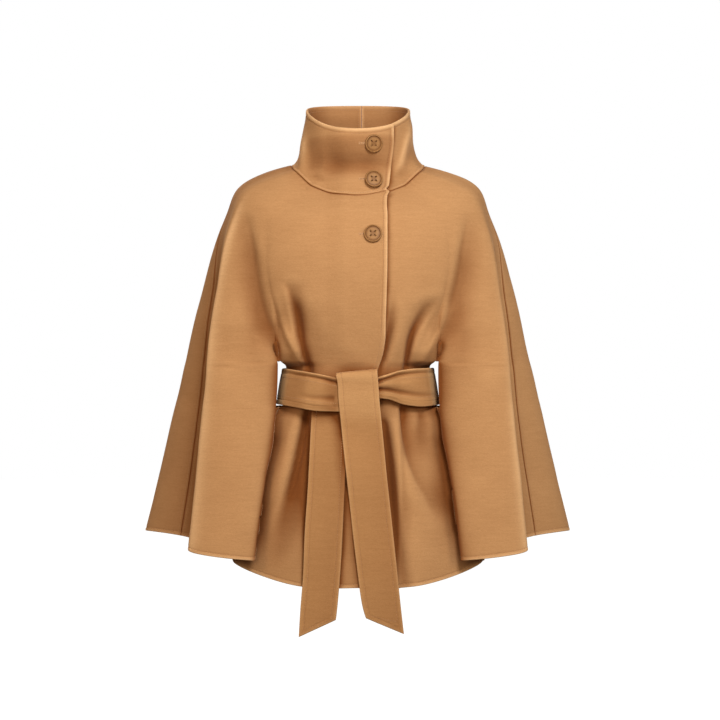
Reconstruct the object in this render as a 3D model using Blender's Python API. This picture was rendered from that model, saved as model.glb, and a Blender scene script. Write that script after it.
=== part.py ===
"""Wool cape, worn shape with no wearer: two fronts, a back, a funnel collar in two halves, three buttons and a tie belt.

Sizes in millimetres, meshes in metres. X to the wearer's left, -Y the front, Z up. The origin is the middle of the neck at the height where the
collar seam crosses the side of the neck.
"""
import math

import bpy
import numpy as np
from mathutils import Matrix, Vector
from mathutils.geometry import delaunay_2d_cdt

# ------------------------------------------------------------------ driving sizes, mm
CLOTH = 3.0            # double-face wool coating
COLLAR_CLOTH = 4.0     # collar: two layers pressed together
BELT_CLOTH = 4.0       # belt: a flat tube, two layers
SEAM_GAP = 0.3
SIDE_SEAM_GAP = 0.4
OVERLAP = 4.0          # how far the right front stands out where it lies over the left
COLLAR_OVERLAP = 5.2
BUTTON_DIAMETER = 30.0
BUTTON_THICKNESS = 4.0
UNDER_EDGE_X = -6.0    # edge of the left front, under the right one


def table(columns, rows):
    """A table with named columns, one row for each section, line or fold."""
    data = np.array(rows, float)
    return {name: data[:, i] for i, name in enumerate(columns.split())}


# ------------------------------------------------------------------ the cut, row by row from the neck seam to the hem
# Height of each row at the centre front, the side and the centre back.
HEIGHTS = table("front side back", [
    [-51, 10, 28],       # neck seam
    [-72, -4, 8],        # yoke
    [-96, -30, -22],     # shoulder
    [-122, -62, -58],    # top of the arm
    [-160, -115, -112],  # upper chest
    [-215, -190, -190],  # bust
    [-275, -262, -262],  # under the bust
    [-322, -322, -322],  # slit top
    [-331.5, -331.5, -331.5],  # belt top
    [-388, -388, -388],  # belt bottom
    [-398.5, -398.5, -398.5],  # slit end
    [-448, -448, -448],  # below the belt
    [-500, -500, -500],  # hip
    [-688, -612, -680],  # hem
])
# Body panel: centre front, the turn of the bust, and the edge of the panel (the slit's inner lip and, below it,
# the deep fold of the pleat).
BODY = table("front_y turn_x turn_y lip_x lip_y", [
    [-92, 48, -84, 75, -71],
    [-108, 67, -99, 107, -82],
    [-118, 84, -112, 137, -90],
    [-124, 88, -119, 143, -97],
    [-128, 88, -124, 145, -102],
    [-127, 86, -123, 140, -101],
    [-119, 83, -112, 132, -88],
    [-110, 78, -98, 128, -76],
    [-107.5, 76, -92.5, 119, -46],
    [-107.5, 76, -92, 118.5, -37],
    [-108.8, 77, -94.3, 129, -60],
    [-119, 84, -105, 142, -68],
    [-131, 92, -117, 163, -72],
    [-150, 108, -134, 207, -74],
])
# Wing, the cloth that hangs over the arm: its inner fold (the slit's outer lip above) and its outer fold.
WING = table("inner_x inner_y outer_x outer_y", [
    [80, -67, 103, -43],
    [113, -79, 146, -50],
    [145, -86, 187, -54],
    [151, -92, 203, -56],
    [153, -97, 220, -60],
    [147, -96, 233, -66],
    [138.5, -89.5, 244, -73],
    [132.5, -83, 249.2, -80.3],
    [132.2, -82.2, 250, -82],
    [134, -82, 254.4, -89.2],
    [135, -83, 255.3, -91],
    [142, -90, 259.6, -98],
    [149, -100, 264, -104],
    [168.5, -122, 276, -117],
])
# Behind the wing: the recess, the side seam and the widest line of the side.
SIDE = table("recess_x recess_y seam_x seam_y wide_x wide_y", [
    [110, -27, 113.5, -8, 113.5, 8],
    [155, -31, 160.5, -9, 160.5, 10],
    [198, -34, 205, -9, 204.5, 12],
    [212, -35, 219, -7, 219, 16],
    [226, -38, 236, -11, 240, 18],
    [232, -43, 244, -22, 262, 20],
    [239, -48, 254, -28, 280, 21],
    [243, -52, 259.5, -32, 293.5, 22],
    [243.8, -53, 260.7, -33, 296.3, 22.2],
    [246.9, -56.5, 266.2, -36.5, 309.3, 23.8],
    [247.6, -57.6, 267.4, -37.6, 312, 24.2],
    [250.4, -61, 273, -40, 323.6, 26],
    [254, -65, 280, -42, 336, 28],
    [265, -74, 297, -47, 363, 32],
])
# The back half repeats these lines behind the side, at this share of their depth.
BACK = table("depth", [[.82], [.86], [.86], [.86], [.85], [.86], [.88], [.9], [.91], [.91], [.92], [.94], [.97], [1]])
BACK_SLIT_WIDER = 12.0   # the back slits stand open this much wider
# Share of the way from the side's height to the centre's at each line, for the rows above the waist and for the hem.
FALL = table("above hem", [
    [1, 1],        # centre
    [.86, .96],    # turn
    [.67, .52],    # lip
    [.62, .46],    # wing, inner fold
    [.24, .27],    # wing, outer fold
    [.12, .15],    # recess
    [0, .02],      # seam
    [0, 0],        # widest line
])
N_LINES = 14             # lines of the half ring: 0 the centre front, 6 the side seam, 13 the centre back
SEAM_LINE = 6
SLIT_TOP_ROW, SLIT_END_ROW, HEM_ROW = 7, 10, 13
# The right front's edge: how far it lies to the wearer's left of the middle.
FRONT_EDGE = table("z x", [
    [-46, 50], [-64, 47.5], [-90, 48.5], [-160, 48], [-225, 46.5], [-272, 44.5], [-310, 39], [-335, 32],
    [-365, 30], [-405, 33], [-500, 41], [-690, 47],
])


def half_rows():
    """The lines of the half ring for every row, (rows, lines, 3)."""
    count = len(HEIGHTS["side"])
    out = np.zeros((count, N_LINES, 3))
    lines = [(0 * BODY["front_y"], BODY["front_y"]), (BODY["turn_x"], BODY["turn_y"]), (BODY["lip_x"], BODY["lip_y"]),
             (WING["inner_x"], WING["inner_y"]), (WING["outer_x"], WING["outer_y"]),
             (SIDE["recess_x"], SIDE["recess_y"]), (SIDE["seam_x"], SIDE["seam_y"]), (SIDE["wide_x"], SIDE["wide_y"])]
    for i, (x, y) in enumerate(lines):
        out[:, i, 0], out[:, i, 1] = x, y
    for i in range(8, N_LINES):
        out[:, i, 0] = out[:, 13 - i, 0]
        out[:, i, 1] = -out[:, 13 - i, 1] * BACK["depth"]
    open_rows = np.array([0, 0, 0, 0, 0, 0, .3, .6, 1, 1, .8, .6, .3, 0])
    out[:, 10, 0] += BACK_SLIT_WIDER * open_rows
    low = np.clip((np.arange(count) - 8) / (count - 9), 0, 1)[:, None]
    share = FALL["above"] * (1 - low) + FALL["hem"] * low
    share = np.concatenate([share, share[:, [5, 4, 3, 2, 1, 0]]], axis=1)
    centre = np.where(np.arange(N_LINES) < 7, HEIGHTS["front"][:, None], HEIGHTS["back"][:, None])
    side = HEIGHTS["side"][:, None]
    out[:, :, 2] = side + (centre - side) * share
    return out


def full_rows():
    """The whole ring: lines 0..13 on the wearer's left, 14..25 back round the right side to the front."""
    half = half_rows()
    other = half[:, 12:0:-1].copy()
    other[..., 0] *= -1
    return np.concatenate([half, other], axis=1)


def cubic(knots, points, at, periodic=False):
    """Smooth cubic through points at knots, read at the values at."""
    h = np.diff(np.asarray(knots, float))
    n = len(points)
    flat = points.reshape(n, -1)
    a = np.zeros((n, n))
    rhs = np.zeros(flat.shape)
    for i in range(n) if periodic else range(1, n - 1):
        before, after = h[i - 1], h[i]
        a[i, (i - 1) % n] += before
        a[i, i] += 2 * (before + after)
        a[i, (i + 1) % n] += after
        rhs[i] = 6 * ((flat[(i + 1) % n] - flat[i]) / after - (flat[i] - flat[i - 1]) / before)
    if not periodic:
        a[0, 0] = a[-1, -1] = 1
    m = np.linalg.solve(a, rhs)
    if periodic:
        flat, m = np.concatenate([flat, flat[:1]]), np.concatenate([m, m[:1]])
    at = np.asarray(at, float)
    k = np.clip(np.searchsorted(knots, at, side="right") - 1, 0, len(h) - 1)
    step = h[k][:, None]
    b = ((at - knots[k]) / h[k])[:, None]
    c = 1 - b
    out = c * flat[k] + b * flat[k + 1] + ((c**3 - c) * m[k] + (b**3 - b) * m[k + 1]) * step**2 / 6
    return out.reshape((len(at),) + points.shape[1:])


ROW_POINTS = full_rows()
N_RING = ROW_POINTS.shape[1]


def rings(lines):
    """Every row's ring read at the given line values (they wrap), (rows, len(lines), 3)."""
    lines = np.asarray(lines, float) % N_RING
    k = np.floor(lines).astype(int) % N_RING
    out = []
    for ring in ROW_POINTS:
        step = np.linalg.norm(np.diff(np.concatenate([ring, ring[:1]]), axis=0), axis=1) ** 0.5
        knots = np.concatenate([[0], np.cumsum(step)])
        out.append(cubic(knots, ring, knots[k] + (lines - np.floor(lines)) * step[k], periodic=True))
    return np.array(out)


ROW_KNOTS = np.concatenate([[0], np.cumsum(np.linalg.norm(np.diff(ROW_POINTS, axis=0), axis=2).mean(1))])


def down(columns, rows):
    """Ring columns (rows of the table, n, 3) read at row values: (len(rows), n, 3).

    A smooth cubic whose slope at each row is held to three times the gentler of the two steps beside it, so the
    cloth doesn't swing past the rows where the belt draws it in.
    """
    rows = np.asarray(rows, float)
    h = np.diff(ROW_KNOTS)
    steps = np.diff(columns, axis=0) / h[:, None, None]
    e = 1e-3 * h.min()
    at = np.clip(ROW_KNOTS, e, ROW_KNOTS[-1] - e)
    slope = (cubic(ROW_KNOTS, columns, at + e) - cubic(ROW_KNOTS, columns, at - e)) / (2 * e)
    limit = 3 * np.minimum(np.abs(steps[:-1]), np.abs(steps[1:]))
    slope[1:-1] = np.clip(slope[1:-1], -limit, limit)
    k = np.clip(np.floor(rows).astype(int), 0, len(h) - 1)
    t, width = (rows - k)[:, None, None], h[k][:, None, None]
    return ((2 * t**3 - 3 * t**2 + 1) * columns[k] + (t**3 - 2 * t**2 + t) * width * slope[k]
            + (3 * t**2 - 2 * t**3) * columns[k + 1] + (t**3 - t**2) * width * slope[k + 1])


def surface(lines, rows):
    """Outer face of the cape. lines is (rows, n): the line value of every column on every row."""
    lines, rows = np.asarray(lines, float), np.asarray(rows, float)
    return np.stack([down(rings(line), [row])[0] for line, row in zip(lines, rows)])


def surface_with_normals(lines, rows):
    lines, rows = np.asarray(lines, float), np.asarray(rows, float)
    e = 0.02
    p = surface(lines, rows)
    across = surface(lines + e, rows) - surface(lines - e, rows)
    low, high = np.clip(rows - e, 0, HEM_ROW), np.clip(rows + e, 0, HEM_ROW)
    along = surface(lines, high) - surface(lines, low)
    n = np.cross(along, across)
    return p, n / np.linalg.norm(n, axis=2, keepdims=True)


def smooth(x, start, end):
    t = np.clip((x - start) / (end - start), 0, 1)
    return t * t * (3 - 2 * t)


def line_at_x(x, row):
    """Line value at which the front of a row crosses this x."""
    lines = np.linspace(-1.4, 1.4, 57)
    return float(np.interp(x, surface([lines], [row])[0, :, 0], lines))


# ------------------------------------------------------------------ meshes
def make_mesh(name, points, faces, colour, roughness):
    mesh = bpy.data.meshes.new(name)
    mesh.from_pydata([tuple(float(v) / 1000 for v in p) for p in points], [], [tuple(map(int, f)) for f in faces])
    mesh.validate()
    mesh.shade_smooth()
    mesh.set_sharp_from_angle(angle=math.radians(45))
    material = bpy.data.materials.new(name + "_material")
    material.use_nodes = True
    shader = material.node_tree.nodes["Principled BSDF"]
    shader.inputs["Base Color"].default_value = (*colour, 1)
    shader.inputs["Roughness"].default_value = roughness
    mesh.materials.append(material)
    obj = bpy.data.objects.new(name, mesh)
    bpy.context.scene.collection.objects.link(obj)
    return obj


def shell(name, outer, inner, keep=None, ring=False, colour=(.50, .28, .13), roughness=.9):
    """A closed wall between two grids of points, (rows, columns, 3). keep marks the cells that are cloth."""
    rows, cols = outer.shape[:2]
    cells = cols if ring else cols - 1
    keep = np.ones((rows - 1, cells), bool) if keep is None else keep
    points = np.concatenate([outer.reshape(-1, 3), inner.reshape(-1, 3)])
    half = rows * cols

    def at(i, j, face):
        return face * half + i * cols + j % cols

    def is_cloth(i, j):
        if ring:
            j %= cells
        return 0 <= i < rows - 1 and 0 <= j < cells and keep[i, j]

    faces = []
    for i in range(rows - 1):
        for j in range(cells):
            if not keep[i, j]:
                continue
            a, b, c, d = (i, j), (i, j + 1), (i + 1, j + 1), (i + 1, j)
            faces.append([at(*p, 0) for p in (d, c, b, a)])
            faces.append([at(*p, 1) for p in (a, b, c, d)])
            for near, (p, q) in (((i - 1, j), (a, b)), ((i, j + 1), (b, c)), ((i + 1, j), (c, d)), ((i, j - 1), (d, a))):
                if not is_cloth(*near):
                    faces.append([at(*p, 0), at(*q, 0), at(*q, 1), at(*p, 1)])
    used = sorted({v for f in faces for v in f})
    place = {v: k for k, v in enumerate(used)}
    return make_mesh(name, points[used], [[place[v] for v in f] for f in faces], colour, roughness)


# ------------------------------------------------------------------ fronts and back
def between(start, end, count):
    return list(np.linspace(start, end, count + 1))[:-1]


BODY_ROWS = np.array(between(0, 3, 5) + between(3, 6, 4) + between(6, 7, 1) + between(7, 8, 1) + between(8, 9, 2)
                     + between(9, 10, 2) + between(10, 13, 6) + [13])
# Columns of a front, from the side seam to the turn of the bust; the rest runs from there to the front edge.
FRONT_LINES = between(6, 5, 1) + between(5, 4, 2) + between(4, 3, 5) + between(3, 2, 2) + between(2, 1, 3)
EDGE_COLUMNS = 4
SLIT_COLUMNS = (8, 10)      # columns of FRONT_LINES that bound the slit, wing side first


def seam_lines(rows):
    """Line values half the gap either side of the side seam, for every row: the front's and the back's."""
    e = 0.01
    p = surface([[6 - e, 6, 6 + e]] * len(rows), rows)
    before = np.linalg.norm(p[:, 1] - p[:, 0], axis=1) / e
    after = np.linalg.norm(p[:, 2] - p[:, 1], axis=1) / e
    return 6 - SIDE_SEAM_GAP / 2 / before, 6 + SIDE_SEAM_GAP / 2 / after


def front_lines(side, rows):
    """Line values of a front's columns. side +1 is the wearer's left, -1 the right, which reaches over the middle."""
    seam, _ = seam_lines(rows)
    out = []
    for row, first in zip(rows, seam):
        if side < 0:
            z = surface([[0]], [row])[0, 0, 2]
            edge = -line_at_x(np.interp(-z, -FRONT_EDGE["z"], FRONT_EDGE["x"]), row)
        else:
            edge = line_at_x(UNDER_EDGE_X, row)
        out.append([first] + FRONT_LINES[1:] + list(np.linspace(1, edge, EDGE_COLUMNS + 1)))
    return np.array(out) * side


def lift(points, amount):
    """How far the right front stands out over the left one, by distance from the middle."""
    return amount * smooth(points[..., 0], -52, -16)


def front(name, side):
    lines = front_lines(side, BODY_ROWS)
    outer, normal = surface_with_normals(lines, BODY_ROWS)
    if side < 0:
        step = OVERLAP + (COLLAR_OVERLAP - OVERLAP) * (1 - smooth(BODY_ROWS, 0, 1))
        outer = outer + normal * lift(outer, step[:, None])[..., None]
    inner = outer - normal * CLOTH
    keep = np.ones((len(BODY_ROWS) - 1, lines.shape[1] - 1), bool)
    for i in range(len(BODY_ROWS) - 1):
        if SLIT_TOP_ROW <= BODY_ROWS[i] < SLIT_END_ROW:
            keep[i, SLIT_COLUMNS[0]:SLIT_COLUMNS[1]] = False
    if side > 0:
        outer, inner, keep = outer[:, ::-1], inner[:, ::-1], keep[:, ::-1]
    return shell(name, outer, inner, keep)


def back(name):
    _, seam = seam_lines(BODY_ROWS)
    half = between(7, 8, 2) + between(8, 9, 2) + between(9, 10, 5) + between(10, 11, 2) + between(11, 12, 3)
    mid = between(12, 14, 4)
    other = [26 - v for v in half][::-1]
    out = []
    for s in seam:
        first = list(np.linspace(s, 7, 3)[:-1])
        out.append(first + half + mid + [14] + other + [26 - v for v in first][::-1])
    lines = np.array(out)
    outer, normal = surface_with_normals(lines, BODY_ROWS)
    inner = outer - normal * CLOTH
    keep = np.ones((len(BODY_ROWS) - 1, lines.shape[1] - 1), bool)
    row_lines = lines[0]
    for i in range(len(BODY_ROWS) - 1):
        if SLIT_TOP_ROW <= BODY_ROWS[i] < SLIT_END_ROW:
            for j in range(lines.shape[1] - 1):
                mid_line = (row_lines[j] + row_lines[j + 1]) / 2
                if 10 < mid_line < 11 or 15 < mid_line < 16:
                    keep[i, j] = False
    return shell(name, outer, inner, keep)


# ------------------------------------------------------------------ collar
COLLAR = table("half_width front_y back_y front_z side_z back_z", [[88.5, -92, 65, 62, 105, 121.5]])
COLLAR_ROWS = np.linspace(0, 1, 6)
COLLAR_SEAM_X = 8.0          # the centre back seam sits a little to the wearer's left
COLLAR_EDGE_TOP_X = 58.5


def collar_points(lines, rows):
    """Outer face of the collar; lines (rows, n) are neck ring line values."""
    c = {k: v[0] for k, v in COLLAR.items()}
    out = []
    for line, t in zip(np.asarray(lines, float), rows):
        foot, under = surface([line, line], [0, 0.06])
        up = foot - under
        up = up / np.linalg.norm(up, axis=1, keepdims=True)
        foot = foot + up * SEAM_GAP
        # the rim: a flattened oval met in the direction of each neck point
        depth = np.where(foot[:, 1] < 0, -c["front_y"], c["back_y"])
        foot_depth = np.where(foot[:, 1] < 0, 92.0, 75.0)
        a, b = foot[:, 0] / 113.5, foot[:, 1] / foot_depth
        r = (np.abs(a) ** 2.25 + np.abs(b) ** 2.25) ** (1 / 2.25)
        x, y = a / r * c["half_width"], b / r * depth
        share = np.abs(y) / depth
        z = np.where(y < 0, c["side_z"] + (c["front_z"] - c["side_z"]) * share ** 1.4,
                     c["side_z"] + (c["back_z"] - c["side_z"]) * share ** 0.8)
        rim = np.stack([x, y, z], axis=1)
        leave = up * 62
        arrive = np.stack([-.05 * x, -.02 * y, 0 * x + 88], axis=1)
        out.append((2 * t**3 - 3 * t**2 + 1) * foot + (t**3 - 2 * t**2 + t) * leave
                   + (3 * t**2 - 2 * t**3) * rim + (t**3 - t**2) * arrive)
    return np.array(out)


def collar_with_normals(lines, rows):
    e = 0.01
    lines, rows = np.asarray(lines, float), np.asarray(rows, float)
    p = collar_points(lines, rows)
    across = collar_points(lines + e, rows) - collar_points(lines - e, rows)
    along = collar_points(lines, rows - e) - collar_points(lines, rows + e)
    n = np.cross(along, across)
    return p, n / np.linalg.norm(n, axis=2, keepdims=True)


def collar_line_at_x(x, t):
    lines = np.linspace(-1.8, 1.8, 73)
    return float(np.interp(x, collar_points([lines], [t])[0, :, 0], lines))


def collar_half(name, side, rows=COLLAR_ROWS):
    seam = np.interp(COLLAR_SEAM_X, [0, 48], [13, 12])
    e = 0.01
    p = collar_points([[seam - e, seam + e]], [0])[0]
    gap = SEAM_GAP / 2 / (np.linalg.norm(p[1] - p[0]) / (2 * e))
    first = seam - gap if side > 0 else 26 - (seam + gap)
    at_neck = front_lines(side, [0.0])[0] * side
    out = []
    for t in rows:
        if side < 0:
            base_edge, top_edge = at_neck[-1], -collar_line_at_x(COLLAR_EDGE_TOP_X, 1)
            edge = base_edge + (top_edge - base_edge) * t
        else:
            edge = collar_line_at_x(UNDER_EDGE_X, t)
            edge = at_neck[-1] if t == 0 else edge
        behind = [first] + [12, 11.5, 11, 10, 9, 8, 7]
        if behind[1] > first - .2:
            behind.pop(1)
        out.append(behind + [6] + list(at_neck[1:-EDGE_COLUMNS - 1]) + list(np.linspace(1, edge, EDGE_COLUMNS + 1)))
    lines = np.array(out) * side
    outer, normal = collar_with_normals(lines, rows)
    if side < 0:
        outer = outer + normal * (COLLAR_OVERLAP * smooth(outer[..., 0], -52, -16) * (lines < 2) * (lines > -6))[..., None]
    inner = outer - normal * COLLAR_CLOTH
    outer, inner = outer[::-1], inner[::-1]
    if side > 0:
        outer, inner = outer[:, ::-1], inner[:, ::-1]
    return shell(name, outer, inner)


# ------------------------------------------------------------------ buttons
BUTTONS = table("x z on_collar", [[24.6, 37.2, 1], [24.8, -20.8, 1], [24.5, -114, 0]])
HOLE_DIAMETER, HOLE_SPACING, RIM_WIDTH, DISH_DEPTH = 1.9, 4.2, 3.2, 1.0


def closed_front(lines, rows, on_collar):
    """Outer face and normals of the right front or its collar where they lie over the left."""
    if on_collar:
        p, n = collar_with_normals(lines, rows)
        return p + n * COLLAR_OVERLAP, n
    p, n = surface_with_normals(lines, rows)
    return p + n * OVERLAP, n


def outer_at(x, z, on_collar):
    """Point and normal on that outer face at this x and height, and how far the cloth round the point rises above it."""
    low, high = (0.0, 1.0) if on_collar else (6.0, 0.0)
    line_at = collar_line_at_x if on_collar else (lambda x, row: line_at_x(x, row))
    for _ in range(30):
        row = (low + high) / 2
        p, n = closed_front([[line_at(x, row)]], [row], on_collar)
        low, high = (row, high) if p[0, 0, 2] < z else (low, row)
    point, normal = p[0, 0], n[0, 0]
    rows = np.clip(row + np.linspace(-1, 1, 9) * (.2 if on_collar else .6), 0, 1 if on_collar else HEM_ROW)
    lines = np.tile(np.linspace(0, .8, 13), (len(rows), 1))
    near = closed_front(lines, rows, on_collar)[0].reshape(-1, 3) - point
    height = near @ normal
    flat = np.linalg.norm(near - height[:, None] * normal, axis=1)
    return point, normal, max(0.0, height[flat < BUTTON_DIAMETER / 2 + 2].max())


def button(name, x, z, on_collar):
    radius, inner = BUTTON_DIAMETER / 2, BUTTON_DIAMETER / 2 - RIM_WIDTH
    point, normal, rise = outer_at(x, z, on_collar)
    around = 24
    angle = np.arange(around) * 2 * math.pi / around
    # flat middle with four holes
    loops = [[(inner * math.cos(a), inner * math.sin(a)) for a in angle]]
    half = HOLE_SPACING / 2
    for sx, sy in ((1, 1), (-1, 1), (-1, -1), (1, -1)):
        loops.append([(sx * half + HOLE_DIAMETER / 2 * math.cos(k * math.pi / 4),
                       sy * half + HOLE_DIAMETER / 2 * math.sin(k * math.pi / 4)) for k in range(8)])
    flat = [p for loop in loops for p in loop]
    edges, start = [], 0
    for loop in loops:
        edges += [(start + k, start + (k + 1) % len(loop)) for k in range(len(loop))]
        start += len(loop)
    points2, _, tris, *_ = delaunay_2d_cdt(flat, edges, [], 1, 1e-6)
    centres = [(sx * half, sy * half) for sx, sy in ((1, 1), (-1, 1), (-1, -1), (1, -1))]
    tris = [t for t in tris if all(math.dist(np.mean([points2[v][:] for v in t], axis=0), c) > HOLE_DIAMETER * .45
                                   for c in centres)]
    n2 = len(points2)
    top_z, dish = BUTTON_THICKNESS, BUTTON_THICKNESS - DISH_DEPTH
    local = [(p[0], p[1], dish) for p in points2] + [(p[0], p[1], 0) for p in points2]
    faces = [tuple(t) for t in tris] + [tuple(n2 + v for v in t[::-1]) for t in tris]
    start = around
    for _ in centres:
        for k in range(8):
            a, b = start + k, start + (k + 1) % 8
            faces.append((a, b, n2 + b, n2 + a))
        start += 8
    # rim: rounded section from the dish out and down to the flat underside
    section = [(inner + .7, top_z - .25), (inner + 1.5, top_z), (radius - 1.1, top_z - .15), (radius - .25, top_z - 1.0),
               (radius, top_z - 1.9), (radius - .5, .5), (radius - 1.4, 0)]
    previous = list(range(around))
    for r, h in section:
        current = list(range(len(local), len(local) + around))
        local += [(r * math.cos(a), r * math.sin(a), h) for a in angle]
        for k in range(around):
            j = (k + 1) % around
            faces.append((previous[k], current[k], current[j], previous[j]))
        previous = current
    for k in range(around):
        j = (k + 1) % around
        faces.append((previous[k], n2 + k, n2 + j, previous[j]))
    obj = make_mesh(name, local, faces, (.34, .20, .10), .45)
    # flat underside just clear of the curved cloth, face along its normal
    obj.location = Vector(point + normal * (rise + SEAM_GAP)) / 1000
    side = Vector((-normal[1], normal[0], 0)).normalized()
    up = Vector(normal).cross(side)
    obj.rotation_euler = Matrix((side, up, Vector(normal))).transposed().to_euler()
    return obj


# ------------------------------------------------------------------ belt
# The ring round the waist: plan half-size of its inner face at its top, and how much wider its lower edge is each side.
BELT = {"half_width": 124.5, "front": 111.0, "back": 102.0, "bulge": 10.0, "corner": 3.0, "flare": 10.0}
# Upper and lower edge of the band round the waist, by distance from the middle at the front.
BELT_EDGE = table("x top bottom", [
    [-124, -333.5, -393.5], [-90, -337, -398], [-60, -342, -403], [-30, -348, -404], [-8, -349, -398],
    [25, -349, -382], [45, -344, -384], [68, -336, -393], [95, -333, -396.5], [124, -332.5, -394.5],
])
BELT_BACK_EDGE = (-333.0, -393.5)


def belt_ring(angles, wall):
    """Plan of the band: angle 0 the centre front, growing towards the wearer's left."""
    c, s = np.cos(angles), np.sin(angles)
    depth = np.where(c > 0, BELT["front"], BELT["back"])
    n = BELT["corner"]
    x = np.sign(s) * np.abs(s) ** (2 / n) * (BELT["half_width"] + wall)
    y = -np.sign(c) * np.abs(c) ** (2 / n) * (depth + wall)
    y = y - BELT["bulge"] * (c > 0) * smooth(x, -108, -78) * (1 - smooth(x, 34, 66))
    return x, y


def belt_heights(angles):
    x, y = belt_ring(angles, 0)
    front = np.cos(angles) > 0
    blend = smooth(np.abs(y), 0, 60) * ~front
    top = np.interp(x, BELT_EDGE["x"], BELT_EDGE["top"])
    bottom = np.interp(x, BELT_EDGE["x"], BELT_EDGE["bottom"])
    side_top = np.where(x > 0, BELT_EDGE["top"][-1], BELT_EDGE["top"][0])
    side_bottom = np.where(x > 0, BELT_EDGE["bottom"][-1], BELT_EDGE["bottom"][0])
    back_top = side_top + (BELT_BACK_EDGE[0] - side_top) * blend
    back_bottom = side_bottom + (BELT_BACK_EDGE[1] - side_bottom) * blend
    return np.where(front, top, back_top), np.where(front, bottom, back_bottom)


def belt(name):
    angles = np.linspace(0, 2 * math.pi, 57)[:-1]
    top, bottom = belt_heights(angles)
    grids = []
    for wall in (BELT_CLOTH, 0):
        x, y = belt_ring(angles, wall)
        wider = 1 + BELT["flare"] / BELT["half_width"] * np.linspace(0, 1, 4)
        grids.append(np.stack([np.stack([x * w, y, top + (bottom - top) * t], axis=1)
                               for t, w in zip(np.linspace(0, 1, 4), wider)]))
    return shell(name, grids[0], grids[1], ring=True, colour=(.49, .27, .125))


# The tails: outline and how far forward the inner face hangs, at each height.
KNOT_TAIL = table("z left right left_y right_y", [
    [-352, -34.3, 32.8, -125.7, -125.6],
    [-380, -32.1, 34.8, -125.8, -125.6],
    [-410, -29.2, 37.6, -126.2, -125.6],
    [-440, -26.2, 40.5, -129.6, -126.2],
    [-480, -22.0, 44.3, -139.2, -131.8],
    [-512, -18.4, 47.5, -142.8, -138.6],
    [-555, -13.5, 52.3, -144.5, -143.6],
    [-600, -8.5, 57.0, -149.0, -148.6],
    [-660, -1.2, 63.4, -154.4, -153.2],
    [-716, 7.0, 69.2, -156.6, -155.2],
])
KNOT_TAIL_END = table("x z y", [[12.7, -735.5, -157.0], [74.4, -761.5, -155.6]])
# The fold over the belt: its top edge, then y of the inner face and drop below that edge, from behind to the front.
KNOT_TOP = table("x z", [[-35.7, -339.5], [31.8, -333.0]])
KNOT_FOLD = table("y drop", [[-117.4, 24], [-117.5, 12], [-118.2, 6.4], [-121.4, 4.2], [-124.8, 6.4]])
UNDER_TAIL = table("z left right left_y right_y", [
    [-372, -73.0, -12.5, -101.2, -114.6],
    [-392, -74.3, -13.8, -100.4, -115.6],
    [-410, -75.6, -15.0, -101.2, -116.7],
    [-440, -77.2, -16.6, -110.2, -123.8],
    [-480, -79.0, -18.5, -121.2, -133.8],
    [-505, -80.4, -19.7, -126.5, -137.0],
    [-550, -83.0, -22.0, -134.0, -143.2],
    [-596, -86.1, -24.2, -139.5, -147.7],
    [-675, -89.2, -29.0, -145.5, -153.2],
    [-724, -93.0, -33.2, -149.0, -155.5],
])
UNDER_TAIL_END = table("x z y", [[-95.4, -767.0, -150.5], [-35.0, -738.5, -156.5]])


def tail_grid(rows, end, across=5):
    """Inner face of a tail, top to its slanted end, (rows, across, 3)."""
    grid = []
    share = np.linspace(0, 1, across)
    for i in range(len(rows["z"])):
        x = rows["left"][i] + (rows["right"][i] - rows["left"][i]) * share
        y = rows["left_y"][i] + (rows["right_y"][i] - rows["left_y"][i]) * share
        grid.append(np.stack([x, y, 0 * x + rows["z"][i]], axis=1))
    grid.append(np.stack([end["x"][0] + (end["x"][1] - end["x"][0]) * share,
                          end["y"][0] + (end["y"][1] - end["y"][0]) * share,
                          end["z"][0] + (end["z"][1] - end["z"][0]) * share], axis=1))
    return np.array(grid)


def grid_normals(grid):
    across = np.gradient(grid, axis=1)
    along = np.gradient(grid, axis=0)
    n = np.cross(along, across)
    return n / np.linalg.norm(n, axis=2, keepdims=True)


def knot_tail(name):
    """The tail that comes up behind the belt, folds over its top edge and falls in front."""
    hanging = tail_grid(KNOT_TAIL, KNOT_TAIL_END)
    share = np.linspace(0, 1, hanging.shape[1])
    x = KNOT_TOP["x"][0] + (KNOT_TOP["x"][1] - KNOT_TOP["x"][0]) * share
    top = KNOT_TOP["z"][0] + (KNOT_TOP["z"][1] - KNOT_TOP["z"][0]) * share
    wrap = []
    for y, drop in zip(KNOT_FOLD["y"], KNOT_FOLD["drop"]):
        wrap.append(np.stack([x, 0 * x + y, top - drop], axis=1))
    grid = np.concatenate([np.array(wrap), hanging])
    normal = grid_normals(grid)
    return shell(name, grid + normal * BELT_CLOTH, grid, colour=(.50, .28, .13))


def under_tail(name):
    """The other tail, which comes out from behind the belt's lower edge."""
    grid = tail_grid(UNDER_TAIL, UNDER_TAIL_END)
    normal = grid_normals(grid)
    return shell(name, grid + normal * BELT_CLOTH, grid, colour=(.48, .265, .12))


def build():
    for obj in list(bpy.data.objects):
        bpy.data.objects.remove(obj, do_unlink=True)
    front("right_front", -1)
    front("left_front", +1)
    back("back")
    collar_half("collar_right", -1)
    collar_half("collar_left", +1)
    for i in range(3):
        button("button_%d" % (i + 1), BUTTONS["x"][i], BUTTONS["z"][i], BUTTONS["on_collar"][i])
    belt("belt")
    knot_tail("belt_knot_tail")
    under_tail("belt_under_tail")


build()
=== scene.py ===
"""Wool cape: the looks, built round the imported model. Sizes in the tables are millimetres; every mesh is written in metres."""
import math

import bpy
import numpy as np
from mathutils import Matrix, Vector
from mathutils.bvhtree import BVHTree
from mathutils.geometry import delaunay_2d_cdt


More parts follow.
